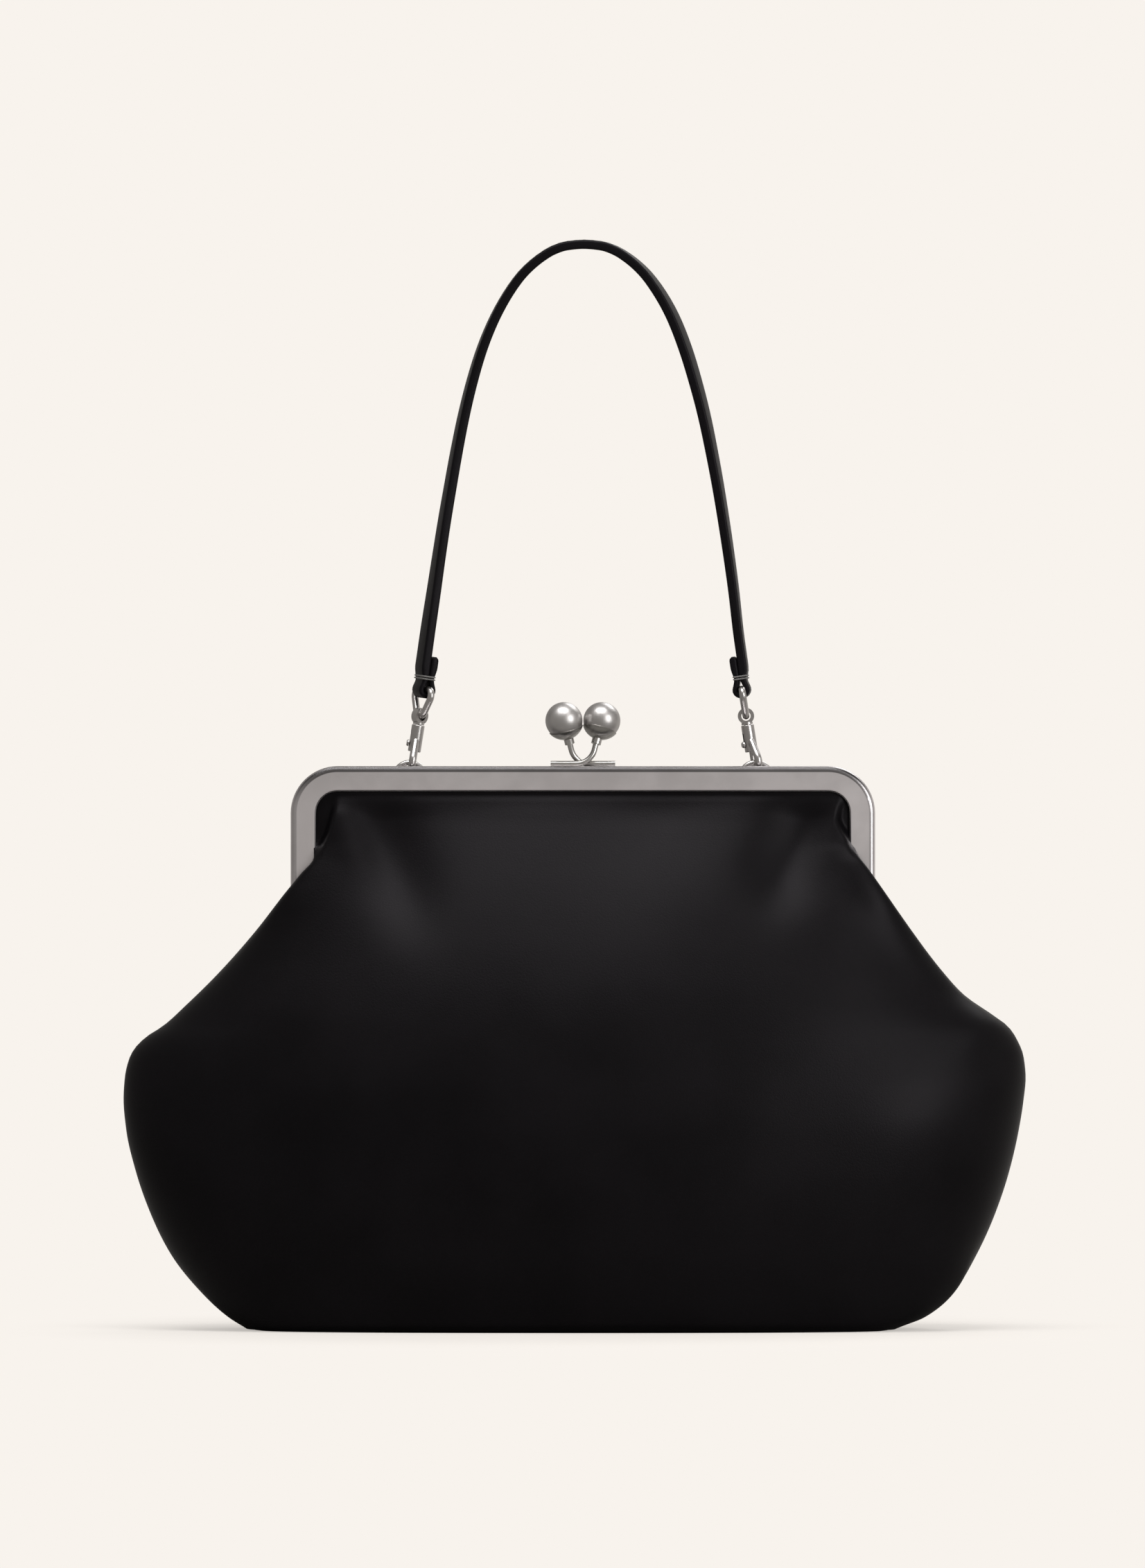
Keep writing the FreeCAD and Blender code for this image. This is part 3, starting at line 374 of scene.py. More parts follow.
def panel_surface(side, folds, phase):
    """Outer face of one panel as a grid of points in mm: rows from the base up, columns round the bag."""
    rows = np.linspace(0, 1, ROW_COUNT)
    height = PANEL_BOTTOM + (PANEL_TOP - PANEL_BOTTOM) * (rows - ROW_CROWDING * np.sin(2 * math.pi * rows))
    turn = np.linspace(-1, 1, COLUMN_COUNT) * math.pi / 2
    height, turn = np.meshgrid(height, turn, indexing="ij")
    power = 2 / smooth_through(FULLNESS)(height)
    edges = {-1: smooth_through(LEFT_EDGE), 1: smooth_through(RIGHT_EDGE)}
    grooves = {-1: smooth_through(GROOVE_LEFT), 1: smooth_through(GROOVE_RIGHT)}
    edge = np.where(turn < 0, edges[-1](height), edges[1](height))
    groove = np.where(turn < 0, grooves[-1](height), grooves[1](height))

    def throat(way):
        """Reach to one side, with the step from the outline to the fold at the frame evened out."""
        return evened(lambda level: np.where(level < THROAT, edges[way](level), grooves[way](level)),
                      EDGE_SPREAD)

    reach = np.where(turn < 0, throat(-1)(height), throat(1)(height))
    near_edge = np.abs(np.sin(turn))
    reach = reach + (edge - reach) * near_edge ** EDGE_POWER
    hollow = smooth_through(EDGE_RECESS)
    recess = evened(hollow, EDGE_SPREAD)(height)
    recess = recess + (hollow(height) - recess) * near_edge ** RECESS_POWER
    depth = smooth_through(HALF_DEPTH)(height)
    across = reach * np.sign(turn) * near_edge ** power
    out = recess + (depth - recess) * np.cos(turn).clip(0) ** power
    sunk = smooth_step(*SINK_HEIGHTS, height) * smooth_step(*SINK_WIDTHS, np.abs(across) - groove)
    out = out + (recess - out) * sunk
    points = np.stack([across, -out, height], axis=2)
    normal = grid_normals(points)

    lift = np.zeros_like(height)
    for line, rise, width, start_fade, end_fade in folds:
        lift += fold_height(points, line, rise, width, start_fade, end_fade)
    lift += WIDE_WAVE * np.sin(across / WIDE_ACROSS + phase) * np.sin(height / WIDE_UP + 2 * phase)
    lift += FINE_WAVE * np.sin(across / FINE_ACROSS - height / FINE_UP + 3 * phase)
    held = 1 - smooth_step(*TOP_FADE, height)
    held *= smooth_step(*BASE_FADE, height)
    held *= 1 - smooth_step(*SEAM_FADE, np.abs(turn) / (math.pi / 2))
    points = points + normal * (lift * held * (1 - sunk))[..., None]
    points[..., 1] = np.minimum(points[..., 1], -hollow(height))
    if side > 0:
        points = points[:, ::-1] * np.array([1, -1, 1])
    return points


def held_in_channel(points, face):
    """The same grid, kept outside a plane at the frame's inner lip from where the frame's arms hold it."""
    side = np.sign(points[ROW_COUNT // 2, COLUMN_COUNT // 2, 1])
    nearest = face - BELOW_ARMS * (1 - smooth_step(*ARM_ENDS, points[..., 2]))
    points[..., 1] = side * np.maximum(side * points[..., 1], nearest)
    return points


def wall_mesh(name, outer, inner):
    """A thin closed wall between two grids of points in mm, with a UV map in metres along the wall."""
    rows, columns = outer.shape[:2]
    points = np.concatenate([outer.reshape(-1, 3), inner.reshape(-1, 3)]) * MM
    index = np.arange(rows * columns).reshape(rows, columns)
    low, right = index[:-1, :-1], index[:-1, 1:]
    high_right, high = index[1:, 1:], index[1:, :-1]
    front = np.stack([low, right, high_right, high], axis=-1).reshape(-1, 4)
    behind = front[:, ::-1] + rows * columns
    rim = np.concatenate([index[0, :], index[1:, -1], index[-1, -2::-1], index[-2:0:-1, 0]])
    ahead = np.roll(rim, -1)
    edge = np.stack([rim, rim + rows * columns, ahead + rows * columns, ahead], axis=-1)
    faces = np.concatenate([front, behind, edge])
    mesh = bpy.data.meshes.new(name)
    mesh.from_pydata(points.tolist(), [], faces.tolist())
    run = np.linalg.norm(np.diff(outer, axis=1), axis=2)
    run = np.concatenate([np.zeros((rows, 1)), np.cumsum(run, axis=1)], axis=1)
    climb = np.linalg.norm(np.diff(outer, axis=0), axis=2)
    climb = np.concatenate([np.zeros((1, columns)), np.cumsum(climb, axis=0)], axis=0)
    cloth = np.stack([run - run[:, columns // 2, None], climb], axis=2).reshape(-1, 2) * MM
    layer = mesh.uv_layers.new(name="cloth")
    layer.data.foreach_set("uv", cloth[faces.reshape(-1) % (rows * columns)].ravel())
    mesh.polygons.foreach_set("use_smooth", [True] * len(faces))
    mesh.update()
    piece = bpy.data.objects.new(name, mesh)
    bpy.context.scene.collection.objects.link(piece)
    return piece


def leather_material(name, dark, light, grain, gloss):
    """Smooth dyed leather: close pores, faint creases and a soft, slightly uneven shine."""
    material, flow = blank_material(name)
    place = flow.node("ShaderNodeTexCoord", output="Object")
    patch = flow.node("ShaderNodeTexNoise", None, {"Vector": place, "Scale": 22, "Detail": 3}, "Fac")
    cells = flow.node("ShaderNodeTexVoronoi", {"feature": "SMOOTH_F1"},
                      {"Vector": place, "Scale": grain}, "Distance")
    crease = flow.node("ShaderNodeTexVoronoi", {"feature": "DISTANCE_TO_EDGE"},
                       {"Vector": place, "Scale": grain * 0.6}, "Distance")
    pores = flow.node("ShaderNodeTexNoise", None,
                      {"Vector": place, "Scale": grain * 1.4, "Detail": 2}, "Fac")
    relief = cells * 0.5 + crease.between(0.0, 0.12) * 0.35 + pores * 0.3
    bump = flow.node("ShaderNodeBump", None,
                     {"Height": relief, "Strength": 0.22, "Distance": 0.00012}, "Normal")
    shade = patch.between(0.3, 0.7) * 0.7 + cells * 0.3
    shader = flow.node("ShaderNodeBsdfPrincipled", None, {
        "Base Color": shade.mixed(dark, light),
        "Roughness": patch * 0.12 + pores * 0.06 + gloss,
        "Specular IOR Level": 0.09,
        "Specular Tint": (1, 0.94, 1, 1),
        "Normal": bump,
    }, "BSDF")
    finish_material(flow, shader)
    return material


bag_leather = leather_material("bag_leather", (0.0017, 0.0015, 0.0018, 1), (0.0032, 0.0028, 0.0034, 1),
                               grain=1500, gloss=0.33)
panel_faces = {}
for name, side, folds, phase in (("front", -1, FRONT_FOLDS, 0.4), ("back", 1, BACK_FOLDS, 1.9)):
    outer = panel_surface(side, folds, phase)
    panel_faces[name] = outer
    inner = held_in_channel(outer - grid_normals(outer) * LEATHER_THICKNESS, LEATHER_FACE)
    leather = wall_mesh(name + "_leather", outer, inner)
    leather.data.materials.append(bag_leather)
    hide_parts(name + "_panel", name + "_panel_top")
    name + "_frame"
    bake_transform(leather)


# Lining: a closely woven black cotton bag inside the leather, glued into the frame with it.
# It hangs a little slack and covers the board on the floor of the bag.
LINING_THICKNESS = 0.5
LINING_GAP = 0.25
LINING_FIRST_ROW, LINING_LAST_ROW = 5, -3
NEAR_FACE, FAR_FACE = 1.8, 1.55


def cloth_material(name, thread, shadow, pitch):
    """Plain weave: two crossing sets of threads that pass over and under each other."""
    material, flow = blank_material(name)
    place = flow.node("ShaderNodeUVMap", {"uv_map": "cloth"}, output="UV")
    warp = flow.node("ShaderNodeTexWave", {"bands_direction": "X", "wave_profile": "SIN"},
                     {"Vector": place, "Scale": math.pi / (10 * pitch), "Distortion": 0.4}, "Fac")
    weft = flow.node("ShaderNodeTexWave", {"bands_direction": "Y", "wave_profile": "SIN"},
                     {"Vector": place, "Scale": math.pi / (10 * pitch), "Distortion": 0.4}, "Fac")
    slub = flow.node("ShaderNodeTexNoise", None, {"Vector": place, "Scale": 420, "Detail": 2}, "Fac")
    weave = flow.math("MAXIMUM", warp * (1 - weft * 0.5), weft * (1 - warp * 0.5))
    bump = flow.node("ShaderNodeBump", None,
                     {"Height": weave, "Strength": 0.5, "Distance": 0.0001}, "Normal")
    shader = flow.node("ShaderNodeBsdfPrincipled", None, {
        "Base Color": (weave * 0.7 + slub * 0.3).mixed(shadow, thread),
        "Roughness": 0.8 + slub * 0.15,
        "Specular IOR Level": 0.2,
        "Normal": bump,
    }, "BSDF")
    finish_material(flow, shader)
    return material


lining_cotton = cloth_material("lining_cotton", (0.035, 0.032, 0.036, 1), (0.008, 0.007, 0.009, 1),
                               pitch=0.0007)
lined = slice(LINING_FIRST_ROW, LINING_LAST_ROW)
for name in ("front", "back"):
    outer = panel_faces[name]
    facing = grid_normals(outer)
    near = held_in_channel(outer - facing * (LEATHER_THICKNESS + LINING_GAP), NEAR_FACE)
    far = held_in_channel(outer - facing * (LEATHER_THICKNESS + LINING_GAP + LINING_THICKNESS), FAR_FACE)
    lining = wall_mesh(name + "_lining_cloth", near[lined], far[lined])
    lining.data.materials.append(lining_cotton)
    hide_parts(name + "_lining", name + "_lining_top")
    name + "_frame"
    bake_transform(lining)


# Base: a flat piece of the same leather, sewn to the panels' lower edges with a row of waxed thread.
# Its edge is rounded over, and inside it a grey board keeps the floor of the bag flat under the lining.
BASE_SETBACK = 1.75
BASE_PROFILE = [(0.02, 0.2), (0.5, 0), (0.86, 0), (0.885, 0.45), (0.9, 0.6), (0.915, 0.45), (0.94, 0),
                (0.975, 0), (0.99, 0.25), (1, 0.9), (1, 2.4), (0.5, 2.45), (0.02, 2.45)]
SEAM_SHARE, SEAM_HEIGHT = 0.9, 0.42
CLOTH_SLACK = 0.6
CLOTH_PROFILE = [(0.02, 0), (0.5, 0), (0.995, 0), (1, 0.15), (1, 0.4), (0.995, 0.5), (0.6, 0.5), (0.02, 0.5)]


def tube_mesh(name, rings, joined=False):
    """Skin through rings of points in mm: closed round each ring, and capped or joined at the ends."""
    rings = np.asarray(rings, float)
    count, size = rings.shape[:2]
    index = np.arange(count * size).reshape(count, size)
    ahead = np.roll(index, -1, axis=1)
    last = count if joined else count - 1
    following = np.roll(index, -1, axis=0)[:last]
    ahead_following = np.roll(ahead, -1, axis=0)[:last]
    faces = np.stack([index[:last], ahead[:last], ahead_following, following], axis=-1)
    faces = faces.reshape(-1, 4).tolist()
    if not joined:
        faces += [index[0, ::-1].tolist(), index[-1].tolist()]
    mesh = bpy.data.meshes.new(name)
    mesh.from_pydata((rings.reshape(-1, 3) * MM).tolist(), [], faces)
    mesh.polygons.foreach_set("use_smooth", [True] * len(faces))
    mesh.update()
    piece = bpy.data.objects.new(name, mesh)
    bpy.context.scene.collection.objects.link(piece)
    return piece


def floor_loop(row, setback):
    """Outline of the bag's floor at one row of the panels, set back to the inside."""
    loop = np.concatenate([panel_faces["front"][row, :-1], panel_faces["back"][row, :-1]])[:, :2]
    along = np.roll(loop, -1, axis=0) - np.roll(loop, 1, axis=0)
    along /= np.linalg.norm(along, axis=1, keepdims=True)
    return loop + np.stack([-along[:, 1], along[:, 0]], axis=1) * setback


def floor_plate(name, loop, profile, foot):
    """Flat piece with the outline of a loop, turned up along a profile of shares of the loop and heights."""
    rings = []
    for share, height in profile:
        ring = loop * share
        rings.append(np.column_stack([ring, np.full(len(ring), foot + height)]))
    return tube_mesh(name, rings)


def thread_material(name, colour):
    """Waxed, twisted thread."""
    material, flow = blank_material(name)
    place = flow.node("ShaderNodeTexCoord", output="Object")
    fibre = flow.node("ShaderNodeTexNoise", None, {"Vector": place, "Scale": 2600, "Detail": 2}, "Fac")
    bump = flow.node("ShaderNodeBump", None,
                     {"Height": fibre, "Strength": 0.3, "Distance": 0.00008}, "Normal")
    shader = flow.node("ShaderNodeBsdfPrincipled", None, {
        "Base Color": fibre.between(0.3, 0.7).mixed(toned(colour, 0.6), colour),
        "Roughness": 0.5 + fibre * 0.2,
        "Specular IOR Level": 0.25, "Normal": bump,
    }, "BSDF")
    finish_material(flow, shader)
    return material


def stitch_tree():
    """Node group that lays one short stitch after the other along the edges of a mesh."""
    tree = bpy.data.node_groups.new("stitches", "GeometryNodeTree")
    tree.interface.new_socket("Geometry", in_out="INPUT", socket_type="NodeSocketGeometry")
    for label in ("Pitch", "Stitch Length", "Thread Radius"):
        tree.interface.new_socket(label, in_out="INPUT", socket_type="NodeSocketFloat")
    tree.interface.new_socket("Thread", in_out="INPUT", socket_type="NodeSocketMaterial")
    tree.interface.new_socket("Geometry", in_out="OUTPUT", socket_type="NodeSocketGeometry")
    flow = Flow(tree)
    given = {label: flow.node("NodeGroupInput", output=label)
             for label in ("Geometry", "Pitch", "Stitch Length", "Thread Radius", "Thread")}
    path = flow.node("GeometryNodeMeshToCurve", None, {"Mesh": given["Geometry"]})
    spaced = flow.node("GeometryNodeResampleCurve", {"mode": "LENGTH"},
                       {"Curve": path, "Length": given["Pitch"]})
    along = flow.node("GeometryNodeInputTangent")
    turned = flow.node("FunctionNodeAlignRotationToVector", {"axis": "Z"}, {"Vector": along})
    bead = flow.node("GeometryNodeMeshUVSphere", None, {"Segments": 8, "Rings": 6, "Radius": 1.0}, "Mesh")
    smooth = flow.node("GeometryNodeSetShadeSmooth", None, {0: bead})
    scale = flow.node("ShaderNodeCombineXYZ", None, {
        "X": given["Thread Radius"], "Y": given["Thread Radius"], "Z": given["Stitch Length"] * 0.5})
    laid = flow.node("GeometryNodeInstanceOnPoints", None, {
        "Points": spaced, "Instance": smooth, "Rotation": turned, "Scale": scale})
    real = flow.node("GeometryNodeRealizeInstances", None, {"Geometry": laid})
    done = flow.node("GeometryNodeSetMaterial", None, {"Geometry": real, "Material": given["Thread"]})
    flow.node("NodeGroupOutput", None, {"Geometry": done})
    return tree


def stitched(name, lines, tree, thread, pitch, length, radius):
    """Rows of stitches along lines of points in mm, as a plain mesh object."""
    points, edges = [], []
    for line in lines:
        first = len(points)
        points += (np.asarray(line) * MM).tolist()
        edges += [(first + step, first + step + 1) for step in range(len(line) - 1)]
    path_mesh = bpy.data.meshes.new(name + "_path")
    path_mesh.from_pydata(points, edges, [])
    carrier = bpy.data.objects.new(name + "_path", path_mesh)
    bpy.context.scene.collection.objects.link(carrier)
    modifier = carrier.modifiers.new("stitches", "NODES")
    modifier.node_group = tree
    values = {"Pitch": pitch * MM, "Stitch Length": length * MM, "Thread Radius": radius * MM,
              "Thread": thread}
    for item in tree.interface.items_tree:
        if item.in_out == "INPUT" and item.name in values:
            modifier[item.identifier] = values[item.name]
    seen = carrier.evaluated_get(bpy.context.evaluated_depsgraph_get())
    piece = bpy.data.objects.new(name, bpy.data.meshes.new_from_object(seen))
    bpy.context.scene.collection.objects.link(piece)
    bpy.data.objects.remove(carrier)
    return piece


base_loop = floor_loop(0, BASE_SETBACK)
base_leather = floor_plate("base_leather", base_loop, BASE_PROFILE, 0)
base_leather.data.materials.append(bag_leather)
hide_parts("base_panel")
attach(base_leather, "pouch")

black_thread = thread_material("black_thread", (0.018, 0.017, 0.019, 1))
stitch_group = stitch_tree()
seam_line = np.column_stack([base_loop * SEAM_SHARE, np.full(len(base_loop), SEAM_HEIGHT)])
base_seam = stitched("base_seam", [np.concatenate([seam_line, seam_line[:1]])], stitch_group, black_thread,
                     pitch=3.6, length=2.7, radius=0.28)
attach(base_seam, "pouch")

cloth_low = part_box("base_lining")[0]
cloth_loop = floor_loop(LINING_FIRST_ROW, LEATHER_THICKNESS + 2 * LINING_GAP + CLOTH_SLACK)
base_cloth = floor_plate("base_lining_cloth", cloth_loop, CLOTH_PROFILE, cloth_low[2] / MM)
flat_map = base_cloth.data.uv_layers.new(name="cloth")
for corner in base_cloth.data.loops:
    flat_map.data[corner.index].uv = base_cloth.data.vertices[corner.vertex_index].co.xy
base_cloth.data.materials.append(lining_cotton)
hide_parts("base_lining")
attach(base_cloth, "pouch")


def paint(material, *names):
    """Give CAD nodes a material."""
    for name in names:
        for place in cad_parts[name].material_slots:
            place.material = material


greyboard, flow = blank_material("greyboard")
place = flow.node("ShaderNodeTexCoord", output="Object")
pulp = flow.node("ShaderNodeTexNoise", None, {"Vector": place, "Scale": 900, "Detail": 4}, "Fac")
bump = flow.node("ShaderNodeBump", None, {"Height": pulp, "Strength": 0.4, "Distance": 0.0001}, "Normal")
finish_material(flow, flow.node("ShaderNodeBsdfPrincipled", None, {
    "Base Color": pulp.mixed((0.16, 0.14, 0.115, 1), (0.3, 0.27, 0.225, 1)), "Roughness": 0.85 + pulp * 0.1,
    "Specular IOR Level": 0.15, "Normal": bump,
}, "BSDF"))
paint(greyboard, "base_board")


# Frame: two U-shaped halves bent from folded steel strip, turning on a rivet at each end.
# The strip is nickel plated and satin finished; its colour has painted shade along the rolled outer edge and
# over the top bar, and a painted highlight on its inner lip.
FRAME_HALF, FRAME_TOP, FRAME_CORNER, FRAME_BAND = 118.0, 227.6, 19.0, 10.4
# distances in from the outer edge, then out from the inner one, over which the painted shade and the painted
# highlight fade
RIM_FADE, BEND_FADE, CROWN_FADE = (2.6, 2.2), (1.4, 1.0), (0.7, 0.4)
LIP_FADE, CREASE_FADE = (0.4, 0.6), (1.0, 1.2)
OVERHEAD = (2, 16)


def nickel_material(name, colour, roughness, scratches, shade=None):
    """Nickel plating with a faint haze and hairlines. shade gives shares of painted shade and painted
    highlight.
    """
    material, flow = blank_material(name)
    place = flow.node("ShaderNodeTexCoord", output="Object")
    haze = flow.node("ShaderNodeTexNoise", None, {"Vector": place, "Scale": 60, "Detail": 4}, "Fac")
    drawn = flow.node("ShaderNodeMapping", None, {"Vector": place, "Scale": (0.12, 1, 1)})
    hairline = flow.node("ShaderNodeTexNoise", None, {"Vector": drawn, "Scale": 5200, "Detail": 2}, "Fac")
    bump = flow.node("ShaderNodeBump", None,
                     {"Height": hairline, "Strength": scratches, "Distance": 0.00004}, "Normal")
    tone = haze.between(0.35, 0.65).mixed(toned(colour, 0.93), colour)
    if shade:
        painted_shade_share, painted_highlight_share = shade(flow, place)
        # where shade asks, the colour is darkened as painted shade and lightened as painted highlight
        tone = painted_shade_share.mixed(tone, toned(colour, 0.04))
        tone = painted_highlight_share.mixed(tone, toned(colour, 1.3))
    shader = flow.node("ShaderNodeBsdfPrincipled", None, {
        "Base Color": tone, "Metallic": 1.0,
        "Roughness": haze * 0.08 + hairline * 0.05 + roughness, "Normal": bump,
    }, "BSDF")
    finish_material(flow, shader)
    return material


def painted_rim_shade_and_lip_highlight(flow, place):
    """Shares of painted shade on the frame's rolled rim and over its top bar, strongest along the top, and
    of a painted highlight on its inner lip.
    """
    across = flow.node("ShaderNodeSeparateXYZ", None, {"Vector": place}, "X")
    up = flow.node("ShaderNodeSeparateXYZ", None, {"Vector": place}, "Z")
    past_side = flow.math("ABSOLUTE", across, 0.0) - (FRAME_HALF - FRAME_CORNER) * MM
    past_top = up - (FRAME_TOP - FRAME_CORNER) * MM
    side, top = flow.math("MAXIMUM", past_side, 0.0), flow.math("MAXIMUM", past_top, 0.0)
    corner = (side * side + top * top) ** 0.5
    rim, bend, crown = [corner.between((FRAME_CORNER - start) * MM, (FRAME_CORNER - end) * MM)
                        for start, end in (RIM_FADE, BEND_FADE, CROWN_FADE)]
    inner = FRAME_CORNER - FRAME_BAND
    past_lip, past_crease = [corner.between((inner + start) * MM, (inner + end) * MM)
                             for start, end in (LIP_FADE, CREASE_FADE)]
    overhead = top.between(OVERHEAD[0] * MM, OVERHEAD[1] * MM)
    lip, crease = 1 - past_lip, past_lip - past_crease
    # painted shade: dark on the rim, less on the bend, lifted at the crown and twice as strong along the
    # top, plus a crease band and an even darkening of the top bar; painted highlight on the lip along the
    # top
    dark = (rim * 0.72 + bend * 0.145 - crown * 0.5) * (overhead * 0.5 + 0.5)
    return dark + (crease * 0.25 + 0.11) * overhead, lip * overhead * 0.6


# the frame's colour carries painted shade on its rim and top bar and a painted highlight on its inner lip
frame_nickel = nickel_material("frame_nickel", (0.95, 0.907, 0.92, 1), roughness=0.27, scratches=0.1,
                               shade=painted_rim_shade_and_lip_highlight)
paint(frame_nickel, "front_frame", "back_frame", "hinge_rivet_left", "hinge_rivet_right",
      "d_ring_bracket_left", "d_ring_bracket_right")


# Kiss lock: two bent wires soldered along the top of the frame, each ending in a collar, a cup and a ball.
# The balls and their cups are plated and satin finished like the frame, and the balls snap past each other.
ball_nickel = nickel_material("ball_nickel", (0.53, 0.513, 0.503, 1), roughness=0.33, scratches=0.03)
# the cups' nickel is painted darker than the balls' as painted shade, for the dark surroundings they reflect
cup_nickel_painted_darker = nickel_material("cup_nickel_painted_darker", (0.4, 0.39, 0.37, 1), roughness=0.24, scratches=0.06)
wire_nickel = nickel_material("wire_nickel", (0.55, 0.535, 0.515, 1), roughness=0.22, scratches=0.06)
for half in ("front", "back"):
    paint(ball_nickel, half + "_ball")
    paint(cup_nickel_painted_darker, half + "_ball_cup")
    paint(wire_nickel, half + "_clasp_stem", half + "_clasp_collar")


# Strap hardware: D-rings in soldered brackets behind the frame, and cast bolt snaps that swivel on an eye.
# Pear-shaped wire rings join the eyes to the strap. All is nickel plated, but the bolts' springs are steel.
hardware_nickel = nickel_material("hardware_nickel", (0.52, 0.502, 0.49, 1), roughness=0.23, scratches=0.08)
spring_steel, flow = blank_material("spring_steel")
place = flow.node("ShaderNodeTexCoord", output="Object")
# the coils are bands of a wave texture, with painted shade in the gaps between them
coil_bands_and_gap_shade = flow.node("ShaderNodeTexWave", {"bands_direction": "Z"}, {"Vector": place, "Scale": 420}, "Fac")
bump = flow.node("ShaderNodeBump", None, {"Height": coil_bands_and_gap_shade, "Strength": 0.8, "Distance": 0.0002}, "Normal")
finish_material(flow, flow.node("ShaderNodeBsdfPrincipled", None, {
    "Base Color": coil_bands_and_gap_shade.mixed((0.03, 0.03, 0.03, 1), (0.42, 0.42, 0.43, 1)), "Metallic": 1.0,
    "Roughness": 0.5 - coil_bands_and_gap_shade * 0.15, "Normal": bump,
}, "BSDF"))
for side in ("left", "right"):
    paint(hardware_nickel, "d_ring_" + side, "hook_body_" + side, "hook_bolt_" + side)
paint(hardware_nickel, "oval_ring_right", "swivel_eye_right")

RING_TURN, EYE_TURN = 26, 44
HOOK_LEAN = math.radians(9)
LOOP_X, LOOP_Z = 64.28, 258.69
STRAP_PLANE = 13.3


def copy_of(node, name, material, body, move=Matrix()):
    """A piece with the shape of a CAD node, moved from its place there, which stands for that node."""
    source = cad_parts[node]
    mesh = source.data.copy()
    mesh.transform(move @ source.matrix_world)
    for slot_index in range(len(mesh.materials)):
        mesh.materials[slot_index] = material
    piece = bpy.data.objects.new(name, mesh)
    bpy.context.scene.collection.objects.link(piece)
    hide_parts(node)
    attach(piece, body)
    return piece


# the left ring and its eye hang a little turned to the viewer
loop_place = Vector((-LOOP_X, STRAP_PLANE, LOOP_Z)) * MM
hook_line = Vector((math.sin(HOOK_LEAN), 0, math.cos(HOOK_LEAN)))
for node, degrees in (("oval_ring_left", RING_TURN), ("swivel_eye_left", EYE_TURN)):
    spin = Matrix.Rotation(math.radians(degrees), 4, hook_line)
    spin = Matrix.Translation(loop_place) @ spin @ Matrix.Translation(-loop_place)
    copy_of(node, node + "_turned", hardware_nickel, "strap", spin)

# each spring is copied from its CAD node in steel, with a mesh of its own
for side, way in (("left", 1), ("right", -1)):
    spring = copy_of("bolt_spring_" + side, "bolt_spring_%s_coil" % side, spring_steel,
                     "hook_" + side)
    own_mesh(spring)


# Strap: a narrow band of the bag's leather, folded double, thick for its width.
# Each end is skived, turned round the ring, sewn back on itself as a short tab and bound with pale thread.
STRAP_WIDTH, STRAP_THICKNESS = 10.0, 3.7
LOOP_MIDDLE, LOOP_THICKNESS = 2.75, 2.1
LEG_LEAN = math.radians(8.0)
END_REACH = 22.0
# climb above the loop's middle, distance from the end's middle line, thickness
TAB_ROWS = [(13.5, 1.53, 3), (11, 1.53, 3), (9, 1.53, 3), (6.5, 1.3, 2.6), (4.4, 1.08, 2.15),
            (2.8, 1.4, 2.1)]
ROOT_ROWS = [(2.8, 1.6, 2.3), (4.4, 1.4, 2.8), (6.5, 1.65, 3.3), (9, 1.88, 3.7), (12, 1.88, 3.7),
             (16, 1.88, 3.7), (END_REACH, 1.88, 3.7)]
LOOP_STEPS = 12
# across and up in the strap's plane, from the top down
STRAP_TOP = (0.4, 438.7)
LEFT_LEG = [(-6.5, 438.1), (-12, 436.3), (-16.8, 433.4), (-21.5, 429.6), (-25.8, 425), (-34.6, 411),
            (-40.6, 397), (-44.9, 383), (-48.3, 369), (-51.1, 355), (-53.6, 341), (-56, 327),
            (-58.2, 313), (-60.3, 299)]
RIGHT_LEG = [(7.4, 438.1), (12.9, 436.3), (17.8, 433.4), (22.5, 429.6), (26.8, 425), (35.6, 411),
             (41.3, 397), (45.6, 383), (49.2, 369), (52.1, 355), (54.7, 341), (57, 327),
             (59.1, 313), (61, 299)]
# height, and degrees that the strap is turned to the viewer there
LEFT_TURN = [(255, 20), (285, 18.5), (313, 14.5), (355, 11), (383, 8), (411, 4.5), (439, 2)]
RIGHT_TURN = [(255, 5), (285, 6), (313, 8), (341, 10), (369, 12.5), (397, 14.5), (418, 12), (432, 6),
              (439, 2)]
TAB_GAP, TURN_EASE = 0.03, 90
CORNER_RADIUS, CORNER_SHARE, CORNER_STEPS = 0.9, 0.9, 4
END_ROUND, END_LEAST = 1.6, 0.04
STITCH_INSET, STITCH_SINK = 1.5, 0.2
SEWN_SAMPLES, SEWN_ABOVE = 24, 8
BINDING_CLIMBS = (4.2, 5.2)
BINDING_RADIUS, BINDING_SPOKES = 0.33, 8
BINDING_STEPS, BINDING_CORNER = 64, 0.25
SPACING, SMOOTHING_ROUNDS = 0.8, 2


def end_axes(side):
    """In the strap's plane: up along the strap's end, and out to its outer face."""
    up = np.array([-side * math.sin(LEG_LEAN), math.cos(LEG_LEAN)])
    out = np.array([side * math.cos(LEG_LEAN), math.sin(LEG_LEAN)])
    return np.array([side * LOOP_X, LOOP_Z]), up, out


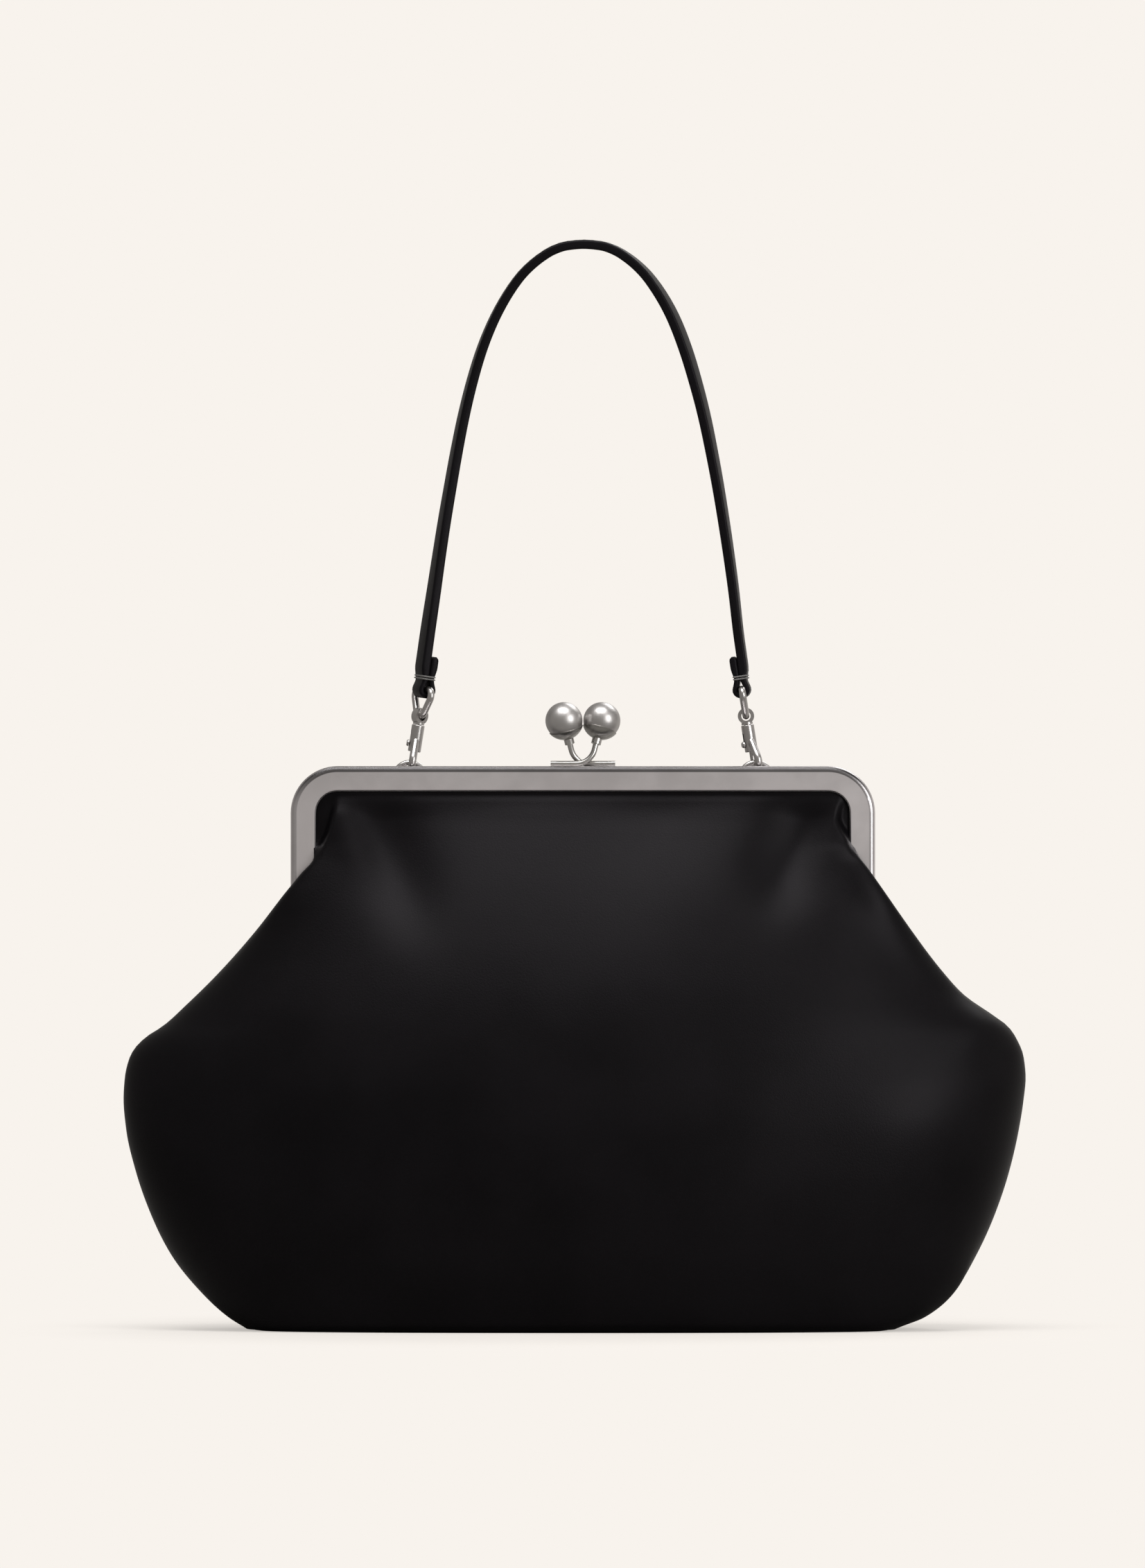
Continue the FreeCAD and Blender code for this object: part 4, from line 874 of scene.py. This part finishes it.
def strap_path():
    """Middle line of the strap in its plane from one tab round to the other, with its thickness."""
    lines = {}
    for side, leg in ((-1, LEFT_LEG), (1, RIGHT_LEG)):
        loop, up, out = end_axes(side)
        rows = [(loop + up * climb - out * away, thick) for climb, away, thick in TAB_ROWS]
        for step in range(1, LOOP_STEPS):
            turn = math.pi * step / LOOP_STEPS
            spot = loop - out * LOOP_MIDDLE * math.cos(turn) - up * LOOP_MIDDLE * math.sin(turn)
            rows.append((spot, LOOP_THICKNESS))
        rows += [(loop + up * climb + out * away, thick) for climb, away, thick in ROOT_ROWS]
        rows += [(np.array(point, float), STRAP_THICKNESS) for point in leg[::-1]]
        lines[side] = rows
    return lines[-1] + [(np.array(STRAP_TOP), STRAP_THICKNESS)] + lines[1][::-1]


def resampled(rows, spacing):
    """Evenly spaced points, tangents and thicknesses along a smooth line through the rows."""
    points = np.array([point for point, thick in rows])
    reach = np.concatenate([[0], np.cumsum(np.linalg.norm(np.diff(points, axis=0), axis=1))])
    fine = np.linspace(0, reach[-1], int(reach[-1] / spacing))
    values = (points[:, 0], points[:, 1], [thick for point, thick in rows])
    columns = [smooth_through(list(zip(reach, value)))(fine) for value in values]
    line = np.stack(columns[:2], axis=1)
    for smoothing in range(SMOOTHING_ROUNDS):
        line[1:-1] = 0.25 * line[:-2] + 0.5 * line[1:-1] + 0.25 * line[2:]
    tangent = np.gradient(line, axis=0)
    tangent /= np.linalg.norm(tangent, axis=1, keepdims=True)
    return line, tangent, columns[2]


strap_line, strap_tangent, strap_thick = resampled(strap_path(), SPACING)
strap_out = np.stack([-strap_tangent[:, 1], strap_tangent[:, 0]], axis=1)
turn_at = {-1: smooth_through(LEFT_TURN), 1: smooth_through(RIGHT_TURN)}


def turned_point(pivot, out, reach, across, turn):
    """Point at a reach out from a pivot in the strap's plane and across the strap, turned to the viewer."""
    place = pivot + out * (reach * math.cos(turn) + across * math.sin(turn))
    return (place[0], STRAP_PLANE + across * math.cos(turn) - reach * math.sin(turn), place[1])


def strap_point(sample, above, across):
    """Point at a height above the strap's middle line and across its width, after the strap's turn."""
    flat = strap_line[sample] + strap_out[sample] * above
    side = -1 if strap_line[sample, 0] < 0 else 1
    height = max(strap_line[sample, 1], LOOP_Z)
    turn = math.radians(float(turn_at[side](height)))
    loop, up, out = end_axes(side)
    climb = float(np.dot(flat - loop, up))
    if climb < END_REACH:
        return turned_point(loop + up * climb, out, float(np.dot(flat - loop, out)), across, turn)
    eased = smooth_step(LOOP_Z + END_REACH, LOOP_Z + TURN_EASE, height)
    shift = (STRAP_THICKNESS / 2 + TAB_GAP) * (1 - eased)
    pivot = strap_line[sample] - strap_out[sample] * shift
    return turned_point(pivot, strap_out[sample], above + shift, across, turn)


def strap_section(thick, shrink):
    """Rounded section of the strap: pairs of height above its middle and place across its width."""
    half_thick, half_width = thick / 2 * shrink, STRAP_WIDTH / 2
    corner = min(CORNER_RADIUS, CORNER_SHARE * half_thick)
    pairs = []
    for sign_up, sign_across, first in ((1, 1, 0), (1, -1, 1), (-1, -1, 2), (-1, 1, 3)):
        for step in range(CORNER_STEPS + 1):
            turn = math.pi / 2 * (first + step / CORNER_STEPS)
            pairs.append((sign_up * (half_thick - corner) + corner * math.sin(turn),
                          sign_across * (half_width - corner) + corner * math.cos(turn)))
    return pairs


def binding_rings(side, climb):
    """Thread once round the strap and its tab, just above the loop."""
    loop, up, out = end_axes(side)
    turn = math.radians(float(turn_at[side](LOOP_Z)))
    middle, half_deep, half_wide = 0.35, 2.75, 5.05
    rings = []
    for step in range(BINDING_STEPS):
        angle = 2 * math.pi * step / BINDING_STEPS
        deep = math.copysign(abs(math.cos(angle)) ** BINDING_CORNER, math.cos(angle))
        wide = math.copysign(abs(math.sin(angle)) ** BINDING_CORNER, math.sin(angle))
        ring = []
        for spoke in range(BINDING_SPOKES):
            bend = 2 * math.pi * spoke / BINDING_SPOKES
            grow = 1 + BINDING_RADIUS * math.cos(bend) / half_deep
            pivot = loop + up * (climb + BINDING_RADIUS * math.sin(bend))
            reach, across = middle + half_deep * deep * grow, half_wide * wide * grow
            ring.append(turned_point(pivot, out, reach, across, turn))
        rings.append(ring)
    return rings


strap_rings = []
last_sample = len(strap_line) - 1
for sample in range(len(strap_line)):
    from_end = min(sample, last_sample - sample) * SPACING
    shrink = math.sqrt(max(END_LEAST, 1 - max(0, 1 - from_end / END_ROUND) ** 2))
    section = strap_section(strap_thick[sample], shrink)
    strap_rings.append([strap_point(sample, above, across) for above, across in section])
strap = tube_mesh("strap_leather", strap_rings)
strap_leather = leather_material("strap_leather", (0.0026, 0.0023, 0.0028, 1), (0.0046, 0.0041, 0.005, 1),
                                 grain=1700, gloss=0.3)
strap.data.materials.append(strap_leather)
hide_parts("strap")
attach(strap, "strap")

sewn = [sample for sample in range(SEWN_SAMPLES, last_sample - SEWN_SAMPLES)
        if strap_line[sample, 1] > LOOP_Z + SEWN_ABOVE]
rows = []
for across in (STITCH_INSET - STRAP_WIDTH / 2, STRAP_WIDTH / 2 - STITCH_INSET):
    rows.append([strap_point(sample, strap_thick[sample] / 2 - STITCH_SINK, across) for sample in sewn])
strap_seam = stitched("strap_seam", rows, stitch_group, black_thread, pitch=3.4, length=2.5, radius=0.26)
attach(strap_seam, "strap")

pale_thread = thread_material("pale_thread", (0.16, 0.155, 0.15, 1))
for name, side in (("left", -1), ("right", 1)):
    for turn_index, climb in enumerate(BINDING_CLIMBS):
        binding = tube_mesh("binding_%s_%d" % (name, turn_index + 1), binding_rings(side, climb),
                            joined=True)
        binding.data.materials.append(pale_thread)
        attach(binding, "strap")
